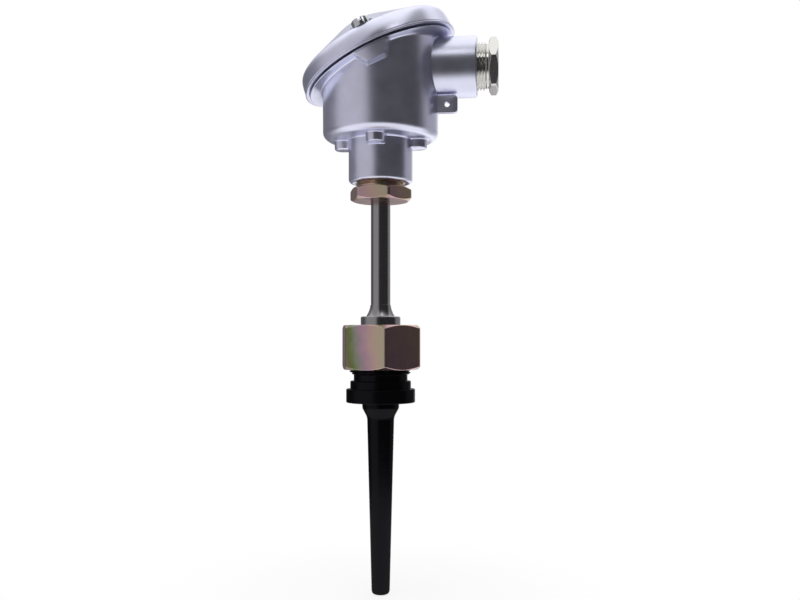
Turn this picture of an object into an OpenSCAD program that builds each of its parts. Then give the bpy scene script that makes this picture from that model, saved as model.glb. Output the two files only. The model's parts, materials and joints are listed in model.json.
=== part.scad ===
// Resistance thermometer: a tilted-lid connection head on a neck tube, held by a
// union nut on a tapered thermowell. Millimetres, +Z up. The origin is the centre
// of the underside of the thermowell's flange, and +X points along the cable gland.
// Every piece is drawn where it sits in the closed probe.

/* [Thermowell] */
// Length of the stem below the flange
well_len = 92.9; // [70:0.1:220]
// Diameter of the stem at its tip
well_tip_d = 8.8; // [8.6:0.1:11]
// Diameter of the stem under the shoulder cone
well_root_d = 13.1; // [12:0.1:16]
// Edge radius of the tip
well_tip_r = 2.2; // [0.5:0.1:3]
// Diameter of the shoulder under the flange
well_shoulder_d = 17.9; // [16.5:0.1:22]
// Height of the shoulder with its broken edge
well_shoulder_h = 2.8; // [2.2:0.1:6]
// Height of the shoulder's straight seat
well_seat_h = 1.6; // [1.2:0.1:2]
// Height of the cone between the shoulder and the stem
well_cone_h = 5.2; // [3:0.1:10]
// Diameter of the flange
well_flange_d = 33.5; // [31:0.1:45]
// Thickness of the flange
well_flange_h = 6.5; // [3:0.1:12]
// Diameter of the step above the flange
well_step_d = 29.5; // [28:0.1:31]
// Height of the step
well_step_h = 3.9; // [2:0.1:6]
// Diameter of the run-out groove under the thread
well_groove_d = 26.1; // [22:0.1:27]
// Height of the groove
well_groove_h = 3.2; // [2:0.1:6]
// Outside diameter of the union thread
well_thread_d = 30; // [29:0.1:32]
// Length of the union thread with its two chamfers
well_thread_h = 12.4; // [11.5:0.1:20]
// Diameter of the bore for the measuring insert
well_bore_d = 7; // [6.6:0.1:7.6]
// Solid metal between the bore and the tip
well_floor = 6.2; // [3:0.1:10]
// Small turned edges
turned_edge = 0.5; // [0.2:0.1:0.9]

/* [Union] */
// Outside diameter of the flat sealing ring
gasket_d = 26.4; // [22:0.1:27]
// Hole of the flat sealing ring
gasket_hole_d = 12; // [9:0.1:14]
// Thickness of the flat sealing ring
gasket_t = 1.5; // [0.5:0.1:3]
// Diameter of the collar's flange inside the nut
collar_flange_d = 27; // [24:0.1:27.6]
// Thickness of the collar's flange
collar_flange_h = 4.8; // [3:0.1:8]
// Diameter of the collar where it leaves the nut
collar_d = 19.4; // [17:0.1:21]
// Height of the collar above its flange
collar_h = 9.3; // [7:0.1:16]
// Diameter at the foot of the weld neck
weld_neck_d = 14.2; // [12:0.1:16]
// Height of the weld neck
weld_neck_h = 5.6; // [3:0.1:9]
// Width across flats of the union nut
nut_af = 36; // [36:1:46]
// Height of the union nut
nut_h = 21.5; // [19:0.1:26]
// Thickness of the union nut's end over the collar flange
nut_cap = 5.1; // [3:0.1:8]
// Turn of the union nut's corners from +X
nut_turn = -16; // [-30:1:30]

/* [Neck] */
// Outside diameter of the neck tube
tube_d = 9.5; // [9:0.1:11]
// Wall of the neck tube
tube_wall = 1; // [0.5:0.1:1.2]
// Free length of the neck tube
neck_len = 50.3; // [20:0.1:150]
// Depth of the tube's sockets in the collar and in the adapter
socket_h = 8; // [4:0.1:12]
// Width across flats of the hexagon adapter
adapter_af = 27; // [27:1:32]
// Height of the hexagon
adapter_hex_h = 6.4; // [4:0.1:10]
// Thread diameter of the adapter
adapter_thread_d = 24; // [20:0.1:24.5]
// Length of the adapter's thread
adapter_thread_h = 13; // [9:0.1:15]
// Part of the thread that shows under the head
adapter_gap = 2.4; // [0.5:0.1:4]
// Turn of the hexagon's corners from +X
adapter_turn = -8; // [-30:1:30]

/* [Head] */
// Diameter of the head's neck
head_neck_d = 31.1; // [29.5:0.1:34]
// Height of the head's neck
head_neck_h = 20.6; // [16:0.1:30]
// Outside diameter of the body
head_d = 55.9; // [55:0.1:60]
// Wall of the body
head_wall = 3.95; // [2.5:0.05:4.2]
// Thickness of the body's floor
head_floor = 4.1; // [3:0.1:6]
// Radius of the body's lower edge
head_edge_r = 6; // [3:0.1:6.5]
// Tilt of the lid plane, down on the side away from the gland
lid_tilt = 24; // [15:0.5:26]
// Height of the lid rim's centre above the body's underside
lid_rise = 36.4; // [35:0.1:44]
// Reach of the rim under the lid beyond the body's wall
rim_reach = 9.25; // [9:0.05:10.5]
// Thickness of the rim
rim_t = 2.2; // [1.5:0.1:3.5]
// Fillet radius between the rim and the wall
rim_fillet_r = 7; // [4:0.1:7.5]
// Height of the screw bosses below the rim plane
screw_boss_h = 7.8; // [7.2:0.1:10]
// Width of the screw bosses at the rim
screw_boss_w = 16; // [14:0.1:20]
// Width of the screw bosses at their lower end
screw_boss_end_w = 8.8; // [8:0.1:12]
// Reach of the four insert bosses under the body from the axis
insert_boss_reach = 22.8; // [21.5:0.1:24]
// Height of the insert bosses
insert_boss_h = 4.3; // [3:0.1:8]
// Radius of the insert bosses
insert_boss_r = 4.6; // [3.5:0.1:5]

/* [Cable gland] */
// Height of the gland's axis above the body's underside
gland_rise = 34.7; // [33.5:0.1:35]
// Reach of the gland boss from the axis
gland_reach = 46.9; // [44:0.1:56]
// Diameter of the gland boss
gland_boss_d = 28.9; // [27:0.1:29.5]
// Diameter of the gland's thread
gland_thread_d = 22.4; // [20:0.1:22.6]
// Cable hole through the gland
gland_hole_d = 13; // [10:0.1:14]
// Width across flats of the pressure screw
gland_af = 24; // [24:1:27]
// Height of the pressure screw's hexagon
gland_hex_h = 4.5; // [3:0.1:8]
// Length of thread that shows outside the boss
gland_gap = 5.7; // [4.5:0.1:8]
// Length of the rubber seal
gland_seal_h = 7.6; // [5:0.1:8.5]
// Thickness of the gland's two rings
gland_ring_t = 1.2; // [0.8:0.1:1.6]
// Turn of the pressure screw's corners from +Z towards the front
gland_turn = 24; // [0:1:60]

/* [Lead-seal ear] */
// Reach of the ear from the axis
ear_reach = 37.7; // [34:0.1:40]
// Height of the ear
ear_h = 8.5; // [6:0.1:10]
// Height of the ear's lower edge above the body's underside
ear_rise = 11.7; // [8:0.1:12]
// Thickness of the ear
ear_t = 2.6; // [2:0.1:4]
// How far the ear stands in front of the gland's axis
ear_front = 4.2; // [3:0.1:6]
// Diameter of the hole in the ear
ear_hole_d = 2.5; // [1.5:0.1:3]
// Corner radius of the ear
ear_r = 2; // [1:0.1:2.5]

/* [Lid] */
// Reach of the lid's edge beyond the rim
lid_reach = 2.2; // [1.6:0.1:3.5]
// Height of the lid's skirt
lid_skirt_h = 8.6; // [7.5:0.1:10]
// Wall of the lid
lid_wall = 2.8; // [2:0.1:3.2]
// Radius of the skirt's upper edge
lid_edge_r = 2.2; // [1:0.1:3]
// Slope of the lid's flank
lid_flank = 28; // [22:0.5:32]
// Radius at which the flank turns into the crown
lid_crown_r = 16; // [12:0.5:20]
// Gap between the lid's rim and the body's rim
lid_gap = 0.7; // [0.6:0.05:1.2]
// Width of the lid's sealing ring
lid_seal_w = 1.2; // [1:0.1:1.3]
// Distance of the lid screws' axes from the rim's edge
lid_screw_inset = 5.7; // [5.3:0.1:5.8]
// Diameter of the lid screws
lid_screw_d = 5; // [4:0.1:5.2]
// Diameter of the lid screws' heads
lid_screw_head_d = 8.5; // [7.5:0.1:9]
// Height of the lid screws' heads
lid_screw_head_h = 3.7; // [3:0.1:5]
// Height of the screw seats above the lid's rim
lid_screw_seat = 9.7; // [8:0.1:10]

/* [Measuring insert] */
// Outside diameter of the sheath
sheath_d = 6; // [5.6:0.1:6.2]
// Wall of the sheath
sheath_wall = 0.5; // [0.3:0.05:0.6]
// Diameter of the insert's mounting plate
plate_d = 42; // [40.5:0.1:44]
// Thickness of the mounting plate
plate_t = 1.5; // [1:0.1:2]
// Distance between the two insert screws
insert_pitch = 33; // [33:0.1:34]
// Diameter of the insert screws
insert_screw_d = 4; // [3:0.1:4]
// Diameter of the ceramic block's base
block_d = 41; // [40:0.1:42]
// Thickness of the ceramic block's base
block_base_h = 5; // [3:0.1:6]
// Height of the ceramic block above its base
block_h = 9; // [8:0.1:10]
// Length of the insert springs as fitted
spring_h = 11; // [10:0.1:12]
// Wire of the insert springs
spring_wire = 0.8; // [0.5:0.1:0.9]
// Turns of the insert springs
spring_turns = 5.5; // [4:0.5:7]
// Diameter of the sensor element
sensor_d = 3; // [2:0.1:3.4]
// Length of the sensor element
sensor_h = 14; // [8:0.1:25]

/* [Fits] */
// Play of a thread, on the diameter
thread_play = 0.2; // [0.1:0.02:0.3]
// Play of the nut round the collar, on the diameter
collar_play = 0.5; // [0.2:0.05:0.8]
// Play of a part that slides or passes through, on the diameter
slip_play = 0.6; // [0.3:0.05:0.8]
// Running play of the lid screws in the body, on the diameter
screw_play = 0.1; // [0.04:0.02:0.14]
// Gap left between the sheath's tip and the bottom of the bore
tip_gap = 0.5; // [0.3:0.1:1]

/* [Hidden] */

fine = 96;
eps = 0.01;
hex_slope = 30;

// heights and small forms of the thermowell
cone_kink = [0.18, 0.3]; // where the cone's foot flattens: share of its radius and height
well_thread_edge = 1.2;
well_mouth = 1;
step_z = well_flange_h;
groove_z = step_z + well_step_h;
thread_z = groove_z + well_groove_h;
well_top = thread_z + well_thread_h;

// heights and small forms of the union and the neck
collar_edge = 0.6;
weld_top_d = tube_d + 0.5;
weld_curve = 1.7; // power of the weld neck's hollow flank
nut_mouth = 0.8;
adapter_thread_edge = 1;
collar_z = well_top + gasket_t;
nut_seat_z = collar_z + collar_flange_h;
nut_z = nut_seat_z + nut_cap - nut_h;
shoulder_z = nut_seat_z + collar_h;
neck_z = shoulder_z + weld_neck_h;
adapter_z = neck_z + neck_len;
head_z = adapter_z + adapter_hex_h + adapter_gap;
sheath_hole_d = sheath_d + 2 * slip_play;
adapter_hole_d = sheath_hole_d + 1;

// heights of the head
under_z = head_z + head_neck_h;
floor_z = under_z + head_floor;
rim_z = under_z + lid_rise;
gland_z = under_z + gland_rise;
ear_z = under_z + ear_rise;
cavity_r = head_d / 2 - head_wall;
rim_r = head_d / 2 + rim_reach;
rim_low = -lid_gap - rim_t;
head_top = rim_z + rim_r * tan(lid_tilt);
neck_edge_r = 1.8;
neck_fillet_r = 0.8;
cavity_edge_r = 2;
rim_edge = 0.4;
rim_root = 0.3; // how far the rim's fillet runs into the wall
boss_draft = 1.5;
wall_bite = 1.5; // how far a boss or ear runs into the body's wall
insert_boss_edge = 0.7;
gland_boss_edge = 0.6;
head_thread_h = adapter_thread_h - adapter_gap + 1.6;
head_mouth = 1.5;
ear_hole_at = [5, 4]; // from the ear's outer and lower edges

// insert and its seat in the head
pad_h = 3;
pad_r = 5;
plate_z = floor_z + pad_h;
block_z = plate_z + plate_t;
shelf_z = block_z + block_base_h;
block_top = block_z + block_base_h + block_h;
insert_head_z = shelf_z + spring_h;
insert_head_d = 7;
insert_head_h = 2.8;
spring_d = insert_head_d - 0.4;
insert_thread_end = under_z - insert_boss_h + 2;
passage_d = 13.6;
bush_d = 9;
bush_h = 7;
bore_floor_z = well_floor - well_len;
sheath_z = bore_floor_z + tip_gap;
sheath_top = block_z + 1.5;
sheath_bore_d = sheath_d - 2 * sheath_wall;
sensor_z = sheath_z + 1.2;
insulator_play = 0.3;
insulator_d = sheath_bore_d - insulator_play;
insulator_top = block_z + 3;
lead_d = 0.6;
lead_hole_d = 0.9;
lead_r = 1.15;

// ceramic block: four pockets divided by a cross of barriers
barrier_t = 1.8;
block_x = 24;
block_y = 33;
pocket_drop = 6.5;
block_socket_d = 8;
lead_way_d = 5.4;
pocket_z = block_top - pocket_drop;
clamp_size = [7, 8, 4];
clamp_at = [barrier_t / 2 + 0.6 + clamp_size.x / 2, barrier_t / 2 + 2.4 + clamp_size.y / 2];
clamp_bore_d = 3.5;
clamp_screw_d = 6;
clamp_screw_h = 2.2;

// lid: edge circle, flank and crown all run into each other
lid_r = rim_r + lid_reach;
lid_screw_r = rim_r - lid_screw_inset;
skirt_r = lid_r - 0.7;
edge_c = [skirt_r - lid_edge_r, lid_skirt_h - lid_edge_r];
flank_foot = edge_c + lid_edge_r * [sin(lid_flank), cos(lid_flank)];
flank_head = [lid_crown_r, flank_foot.y + (flank_foot.x - lid_crown_r) * tan(lid_flank)];
crown_r = lid_crown_r / sin(lid_flank);
crown_c = [0, flank_head.y - crown_r * cos(lid_flank)];
seal_r = cavity_r / cos(lid_tilt) + 0.45; // clear of the cavity's oval mouth
lid_above = lid_r; // clear of the crown
land_w = 0.5;
land_b = 0.2;
seal_top = 1.4;
lid_screw_end = -6;
screw_end_gap = 0.6;
lid_bead = [0.6, 1.6, 2.1, 0.35]; // edge, straight height, top and depth of the rim's bead
keeper_b = -0.45;
keeper_t = 0.6;
keeper_groove_d = lid_screw_d - 0.8;
keeper_d = lid_screw_d + 1.6;
screw_seat_d = lid_screw_head_d + 2.4;
screw_column_d = screw_seat_d + 2.4; // wide enough to close the seat towards the hollow

// gland, measured along +X
gland_bore_d = gland_thread_d + thread_play;
gland_seat_x = head_d / 2 - 0.35;
seal_x = gland_seat_x + gland_ring_t;
slip_x = seal_x + gland_seal_h;
screw_x = slip_x + gland_ring_t;
hex_x = gland_reach + gland_gap;
ring_d = gland_bore_d - slip_play;
ring_hole_d = gland_hole_d + 0.4;
cable_way_d = gland_hole_d + 2;
gland_seal_hole_d = gland_hole_d - 1.6;
gland_seal_edge = 0.8;
gland_thread_edge = 1;
gland_flare = 1.5;

// ground terminal on the cavity's wall
ground_angle = 60;
ground_z = rim_z - 3.3;
ground_pad_t = 2.8;
ground_pad_d = 8;
ground_screw_d = 4;
ground_screw_len = ground_pad_t + 1.6;
ground_washer_t = 1;
ground_head_d = 7;

// Points of an arc from angle a0 to a1 about c.
function arc(c, r, a0, a1, n = 8) =
    [for (i = [0 : n]) c + r * [cos(a0 + (a1 - a0) * i / n), sin(a0 + (a1 - a0) * i / n)]];

// Height at which a chamfer cone of the hexagon meets radius r.
function hex_drop(af, r) = max(0, (r - 0.985 * af / 2) * tan(hex_slope));

// Turns a half section about the Z axis.
module lathe(points) {
    rotate_extrude($fn = fine) polygon(points);
}

// Round bar or hole from z0 to z1.
module bar(d, z0, z1) {
    translate([0, 0, z0]) cylinder(d = d, h = z1 - z0, $fn = fine);
}

// Cutter for a 45 degree edge of width w where a bore of diameter d opens upwards at z.
module mouth(d, z, w) {
    translate([0, 0, z - w]) cylinder(d1 = d - eps, d2 = d + 2 * w, h = w + eps, $fn = fine);
}

// Hexagon of width af and height h with chamfered corners at both ends.
module hex_bar(af, h, turn) {
    corner = af / 2 / cos(30) + 1;
    drop = hex_drop(af, corner);
    flat = 0.985 * af / 2;
    intersection() {
        rotate(turn) cylinder(d = af / cos(30), h = h, $fn = 6);
        lathe([[0, 0], [flat, 0], [corner, drop], [corner, h - drop], [flat, h], [0, h]]);
    }
}

// Places children in the lid's frame: z along the lid's normal, 0 at its rim.
module on_lid() {
    translate([0, 0, rim_z]) rotate([0, -lid_tilt, 0]) children();
}

// Places children on one lid screw's axis in the lid's frame: side -1 is the front.
module at_lid_screw(side) {
    on_lid() translate([0, side * lid_screw_r, 0]) children();
}

// Places children on the gland's axis, z along +X from the head's axis.
module on_gland() {
    translate([0, 0, gland_z]) rotate([0, 90, 0]) children();
}

// Places children at the four insert bosses.
module at_insert_bosses() {
    for (a = [0 : 90 : 270]) rotate(a) translate([insert_pitch / 2, 0, 0]) children();
}

// Slotted cheese head with its underside at z = 0 and an edge chamfer.
module slotted_head(d, h, slot_w, slot_deep) {
    difference() {
        lathe([[0, 0], [d / 2, 0], [d / 2, h - 0.5], [d / 2 - 0.5, h], [0, h]]);
        translate([-d, -slot_w / 2, h - slot_deep]) cube([2 * d, slot_w, h]);
    }
}

module thermowell() {
    r_tip = well_tip_d / 2;
    r_root = well_root_d / 2;
    r_bar = well_shoulder_d / 2;
    r_flange = well_flange_d / 2;
    r_step = well_step_d / 2;
    r_groove = well_groove_d / 2;
    r_thread = well_thread_d / 2;
    e = turned_edge;
    lead = well_thread_edge;
    cone_z = -well_shoulder_h - well_cone_h;
    color("#15151a")
    difference() {
        lathe(concat(
            [[0, -well_len]],
            arc([r_tip - well_tip_r, -well_len + well_tip_r], well_tip_r, -90, 0),
            [[r_root, cone_z],
             [r_root + cone_kink.x * (r_bar - r_root), cone_z + cone_kink.y * well_cone_h],
             [r_bar - turned_edge, -well_shoulder_h], [r_bar, -well_seat_h], [r_bar, 0],
             [r_flange - e, 0], [r_flange, e], [r_flange, step_z - e], [r_flange - e, step_z],
             [r_step, step_z], [r_step, groove_z - e], [r_step - e, groove_z],
             [r_groove, groove_z], [r_groove, thread_z], [r_thread - lead, thread_z],
             [r_thread, thread_z + lead], [r_thread, well_top - lead], [r_thread - lead, well_top],
             [0, well_top]]));
        bar(well_bore_d, bore_floor_z, well_top + 1);
        mouth(well_bore_d, well_top, well_mouth);
    }
}

module well_gasket() {
    color("#b87333")
    difference() {
        bar(gasket_d, well_top, collar_z);
        bar(gasket_hole_d, well_top - 1, collar_z + 1);
    }
}

module union_collar() {
    r_flange = collar_flange_d / 2;
    r = collar_d / 2;
    foot = weld_neck_d / 2;
    top = weld_top_d / 2;
    color("#a9a49f")
    difference() {
        lathe(concat(
            [[0, collar_z], [r_flange - collar_edge, collar_z], [r_flange, collar_z + collar_edge],
             [r_flange, nut_seat_z], [r, nut_seat_z], [r, shoulder_z - collar_edge],
             [r - collar_edge, shoulder_z], [foot, shoulder_z]],
            [for (t = [1 / 6 : 1 / 6 : 5 / 6])
                [top + (foot - top) * pow(1 - t, weld_curve), shoulder_z + weld_neck_h * t]],
            [[top, neck_z], [0, neck_z]]));
        bar(sheath_hole_d, collar_z - 1, neck_z + 1);
        bar(tube_d, neck_z - socket_h, neck_z + 1);
    }
}

module union_nut() {
    bore = well_thread_d + thread_play;
    color("#a98f6c")
    difference() {
        translate([0, 0, nut_z]) hex_bar(nut_af, nut_h, nut_turn);
        bar(bore, nut_z - 1, nut_seat_z);
        bar(collar_d + collar_play, nut_seat_z - 1, nut_z + nut_h + 1);
        translate([0, 0, nut_z - eps])
            cylinder(d1 = bore + 2 * nut_mouth, d2 = bore, h = nut_mouth, $fn = fine);
    }
}

module neck_tube() {
    color("#8f8f92")
    difference() {
        bar(tube_d, neck_z - socket_h, adapter_z + socket_h);
        bar(tube_d - 2 * tube_wall, neck_z - socket_h - 1, adapter_z + socket_h + 1);
    }
}

module hex_adapter() {
    thread_z0 = adapter_z + adapter_hex_h;
    r = adapter_thread_d / 2;
    top = thread_z0 + adapter_thread_h;
    lead = adapter_thread_edge;
    color("#a68c78")
    difference() {
        union() {
            translate([0, 0, adapter_z]) hex_bar(adapter_af, adapter_hex_h, adapter_turn);
            lathe([[0, thread_z0 - 1], [r, thread_z0 - 1], [r, top - lead], [r - lead, top], [0, top]]);
        }
        bar(tube_d, adapter_z - 1, adapter_z + socket_h);
        bar(adapter_hole_d, adapter_z, top + 1);
    }
}

// Outside of the head as one revolved form: neck, underside, lower edge, wall.
module head_outline() {
    r_neck = head_neck_d / 2;
    r = head_d / 2;
    lathe(concat(
        [[0, head_z]],
        arc([r_neck - neck_edge_r, head_z + neck_edge_r], neck_edge_r, -90, 0, 6),
        arc([r_neck, under_z] + neck_fillet_r * [1, -1], neck_fillet_r, 180, 90, 3),
        arc([r - head_edge_r, under_z + head_edge_r], head_edge_r, -90, 0, 8),
        [[r, head_top], [0, head_top]]));
}

// Tilted rim with the fillet that runs it into the wall.
module head_rim() {
    r_in = head_d / 2 - rim_root;
    on_lid() lathe(concat(
        [[0, 0], [rim_r - rim_edge, 0], [rim_r, -lid_gap - rim_edge], [rim_r, rim_low + rim_edge],
         [rim_r - rim_edge, rim_low]],
        arc([r_in + rim_fillet_r, rim_low - rim_fillet_r], rim_fillet_r, 90, 180, 7),
        [[0, rim_low - rim_fillet_r]]));
}

// Boss for one lid screw: a trapezoid that ends flush with the rim.
module screw_boss(side) {
    half = screw_boss_w / 2 + boss_draft;
    end = screw_boss_end_w / 2;
    on_lid() intersection() {
        translate([0, 0, -screw_boss_h]) cylinder(r = rim_r - 0.1, h = screw_boss_h, $fn = fine);
        rotate(side > 0 ? 180 : 0) translate([0, -cavity_r - wall_bite, 0]) rotate([90, 0, 0])
            linear_extrude(rim_r - cavity_r)
                polygon([[-half, 0], [half, 0], [end, -screw_boss_h], [-end, -screw_boss_h]]);
    }
}

// Boss under the body for one insert screw, drafted, run into the neck.
module insert_boss() {
    r = insert_boss_r;
    out = insert_boss_reach - r;
    e = insert_boss_edge;
    root = head_neck_d / 2 - 3;
    translate([out, 0, under_z - insert_boss_h])
        lathe([[0, 0], [r - 0.3 - e, 0], [r - 0.3, e], [r, insert_boss_h],
               [r, insert_boss_h + 1], [0, insert_boss_h + 1]]);
    translate([root, 0.3 - r, under_z - insert_boss_h])
        cube([out - root, 2 * (r - 0.3), insert_boss_h + 1]);
}

// Flat upright ear with rounded outer corners, just in front of the gland's axis.
module seal_ear() {
    x0 = cavity_r + wall_bite;
    translate([0, -ear_front, 0]) rotate([90, 0, 0]) linear_extrude(ear_t, center = true) difference() {
        union() {
            translate([x0, ear_z]) square([ear_reach - ear_r - x0, ear_h]);
            translate([x0, ear_z + ear_r]) square([ear_reach - x0, ear_h - 2 * ear_r]);
            for (z = [ear_z + ear_r, ear_z + ear_h - ear_r])
                translate([ear_reach - ear_r, z]) circle(r = ear_r, $fn = 48);
        }
        translate([ear_reach - ear_hole_at.x, ear_z + ear_hole_at.y])
            circle(d = ear_hole_d, $fn = 48);
    }
}

// Places children on the ground pad's axis, z pointing at the head's axis.
module on_ground_pad() {
    translate([0, 0, ground_z]) rotate(ground_angle) translate([cavity_r - ground_pad_t, 0, 0])
        rotate([0, -90, 0]) children();
}

module head_body() {
    r_boss = gland_boss_d / 2;
    color("#9da0aa")
    difference() {
        union() {
            difference() {
                union() {
                    head_outline();
                    head_rim();
                    for (side = [-1, 1]) screw_boss(side);
                    for (a = [0 : 90 : 270]) rotate(a) insert_boss();
                    on_gland() lathe([[0, cavity_r - 3], [r_boss, cavity_r - 3],
                                      [r_boss, gland_reach - gland_boss_edge],
                                      [r_boss - gland_boss_edge, gland_reach], [0, gland_reach]]);
                    seal_ear();
                }
                lathe(concat(
                    [[0, floor_z]],
                    arc([cavity_r - cavity_edge_r, floor_z + cavity_edge_r], cavity_edge_r, -90, 0, 4),
                    [[cavity_r, head_top + 30], [0, head_top + 30]]));
            }
            at_insert_bosses() bar(2 * pad_r, floor_z - 1, plate_z);
            on_ground_pad() bar(ground_pad_d, -ground_pad_t - 1, 0);
        }
        on_lid() bar(4 * lid_r, -lid_gap, 2 * lid_r);
        bar(passage_d, head_z - 1, floor_z + 1);
        bar(adapter_thread_d + thread_play, head_z - 1, head_z + head_thread_h);
        translate([0, 0, head_z - eps])
            cylinder(d1 = adapter_thread_d + 2 * head_mouth, d2 = adapter_thread_d,
                     h = head_mouth, $fn = fine);
        on_gland() bar(gland_bore_d, gland_seat_x, gland_reach + 1);
        on_gland() bar(cable_way_d, cavity_r - 4, gland_reach);
        at_insert_bosses() bar(insert_screw_d + thread_play, insert_thread_end - 1, plate_z + 1);
        for (side = [-1, 1]) at_lid_screw(side)
            bar(lid_screw_d + screw_play, lid_screw_end - screw_end_gap, 1);
        on_ground_pad() bar(ground_screw_d + thread_play, -ground_screw_len - 0.4, 1);
    }
}

// Flat ring on the gland's axis.
module gland_ring(x) {
    on_gland() difference() {
        bar(ring_d, x, x + gland_ring_t);
        bar(ring_hole_d, x - 1, x + gland_ring_t + 1);
    }
}

module gland_inner_ring() {
    color("#b9babc") gland_ring(gland_seat_x);
}

module gland_slip_ring() {
    color("#b9babc") gland_ring(slip_x);
}

module gland_seal() {
    r = ring_d / 2;
    hole = gland_seal_hole_d / 2;
    e = gland_seal_edge;
    color("#1c1c1e")
    on_gland() lathe([[hole, seal_x], [r - e, seal_x], [r, seal_x + e], [r, slip_x - e],
                      [r - e, slip_x], [hole, slip_x]]);
}

module pressure_screw() {
    r = gland_thread_d / 2;
    end = hex_x + gland_hex_h;
    lead = gland_thread_edge;
    color("#c9c8c2")
    on_gland() difference() {
        union() {
            lathe([[0, screw_x], [r - lead, screw_x], [r, screw_x + lead], [r, hex_x + 1], [0, hex_x + 1]]);
            translate([0, 0, hex_x]) hex_bar(gland_af, gland_hex_h, 180 + gland_turn);
        }
        bar(gland_hole_d, screw_x - 1, end + 1);
        mouth(gland_hole_d, end, gland_flare);
    }
}

module ground_screw() {
    color("#c9c8c2")
    on_ground_pad() union() {
        bar(ground_screw_d, -ground_screw_len, ground_washer_t + eps);
        translate([0, 0, ground_washer_t]) slotted_head(ground_head_d, 2.4, 1.1, 1.2);
    }
}

module ground_washer() {
    color("#b9babc")
    on_ground_pad() difference() {
        bar(ground_pad_d, 0, ground_washer_t);
        bar(ground_screw_d + thread_play, -1, 2);
    }
}

// Points of a crown of radius r, from the flank nearly to the lid's axis.
function crown(r) =
    [for (i = [0 : 7]) crown_c + r * [sin(lid_flank * (1 - i / 8)), cos(lid_flank * (1 - i / 8))]];

// Half section of the lid's outside, with a bead round its lower edge.
function lid_section() = concat(
    [[0, 0], [lid_r - lid_bead[0], 0], [lid_r, lid_bead[0]], [lid_r, lid_bead[1]],
     [lid_r - lid_bead[3], lid_bead[2]]],
    arc(edge_c, lid_edge_r, 0, 90 - lid_flank, 7),
    crown(crown_r),
    [[0, crown_c.y + crown_r]]);

// Half section of the hollow inside the lid, one wall in from the outside.
function lid_hollow() =
    let (n = [sin(lid_flank), cos(lid_flank)], r = lid_r - lid_wall - 0.4,
         foot = flank_foot - lid_wall * n)
    concat(
        [[0, -1], [r, -1], [r, foot.y + (foot.x - r) * tan(lid_flank)]],
        crown(crown_r - lid_wall),
        [[0, crown_c.y + crown_r - lid_wall]]);

module lid() {
    land_in = seal_r - land_w;
    land_out = seal_r + lid_seal_w + land_w;
    color("#a3a6b0")
    on_lid() difference() {
        union() {
            difference() {
                lathe(lid_section());
                lathe(lid_hollow());
            }
            intersection() {
                lathe(lid_section());
                union() {
                    difference() {
                        bar(2 * land_out, land_b, lid_above);
                        bar(2 * land_in, -1, lid_above + 1);
                    }
                    for (side = [-1, 1]) translate([0, side * lid_screw_r, 0])
                        bar(screw_column_d, land_b + 0.1, lid_above);
                }
            }
        }
        difference() {
            bar(2 * (seal_r + lid_seal_w), -1, seal_top);
            bar(2 * seal_r, -2, seal_top + 1);
        }
        for (side = [-1, 1]) translate([0, side * lid_screw_r, 0]) {
            bar(screw_seat_d, lid_screw_seat, lid_above + 1);
            bar(lid_screw_d + slip_play, -1, lid_screw_seat + 1);
        }
    }
}

module lid_seal() {
    color("#18181a")
    on_lid() difference() {
        bar(2 * (seal_r + lid_seal_w), -lid_gap, seal_top);
        bar(2 * seal_r, -lid_gap - 1, seal_top + 1);
    }
}

// Captive lid screw with a groove for its keeper; the slot runs front to back.
module lid_screw() {
    r = lid_screw_d / 2;
    g = keeper_groove_d / 2;
    low = lid_screw_end;
    union() {
        lathe([[0, low], [r - 0.6, low], [r, low + 0.6], [r, keeper_b], [g, keeper_b],
               [g, keeper_b + keeper_t], [r, keeper_b + keeper_t],
               [r, lid_screw_seat + eps], [0, lid_screw_seat + eps]]);
        translate([0, 0, lid_screw_seat]) rotate(90)
            slotted_head(lid_screw_head_d, lid_screw_head_h, 1.5, 2);
    }
}

module lid_screw_front() {
    color("#d0d0d0") at_lid_screw(-1) lid_screw();
}

module lid_screw_back() {
    color("#d0d0d0") at_lid_screw(1) lid_screw();
}

// Keeper ring that sits in the screw's groove under the lid.
module screw_keeper() {
    difference() {
        bar(keeper_d, keeper_b, keeper_b + keeper_t);
        bar(keeper_groove_d, keeper_b - 1, keeper_b + keeper_t + 1);
    }
}

module screw_keeper_front() {
    color("#4a4a4c") at_lid_screw(-1) screw_keeper();
}

module screw_keeper_back() {
    color("#4a4a4c") at_lid_screw(1) screw_keeper();
}

// Places children at the two insert screws, left (-X) and right (+X).
module at_insert_screw(side) {
    translate([side * insert_pitch / 2, 0, 0]) children();
}

module insert_plate() {
    color("#b4b5b8")
    difference() {
        bar(plate_d, plate_z, block_z);
        bar(sheath_d, plate_z - 1, block_z + 1);
        for (side = [-1, 1]) at_insert_screw(side)
            bar(insert_screw_d + slip_play, plate_z - 1, block_z + 1);
    }
}

module insert_bush() {
    color("#9b9ca0")
    difference() {
        bar(bush_d, plate_z - bush_h, plate_z);
        bar(sheath_d, plate_z - bush_h - 1, plate_z + 1);
    }
}

module sheath() {
    r = sheath_d / 2;
    color("#a2a3a6")
    difference() {
        lathe(concat([[0, sheath_z]], arc([r - 1.5, sheath_z + 1.5], 1.5, -90, 0, 5),
                     [[r, sheath_top], [0, sheath_top]]));
        bar(sheath_bore_d, sensor_z, sheath_top + 1);
    }
}

module sensor_element() {
    color("#f2efe6") bar(sensor_d, sensor_z, sensor_z + sensor_h);
}

module wire_insulator() {
    color("#efe9da")
    difference() {
        bar(insulator_d, sensor_z + sensor_h, insulator_top);
        for (a = [45 : 90 : 315]) rotate(a) translate([lead_r, 0, 0])
            bar(lead_hole_d, sensor_z + sensor_h - 1, insulator_top + 1);
    }
}

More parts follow.
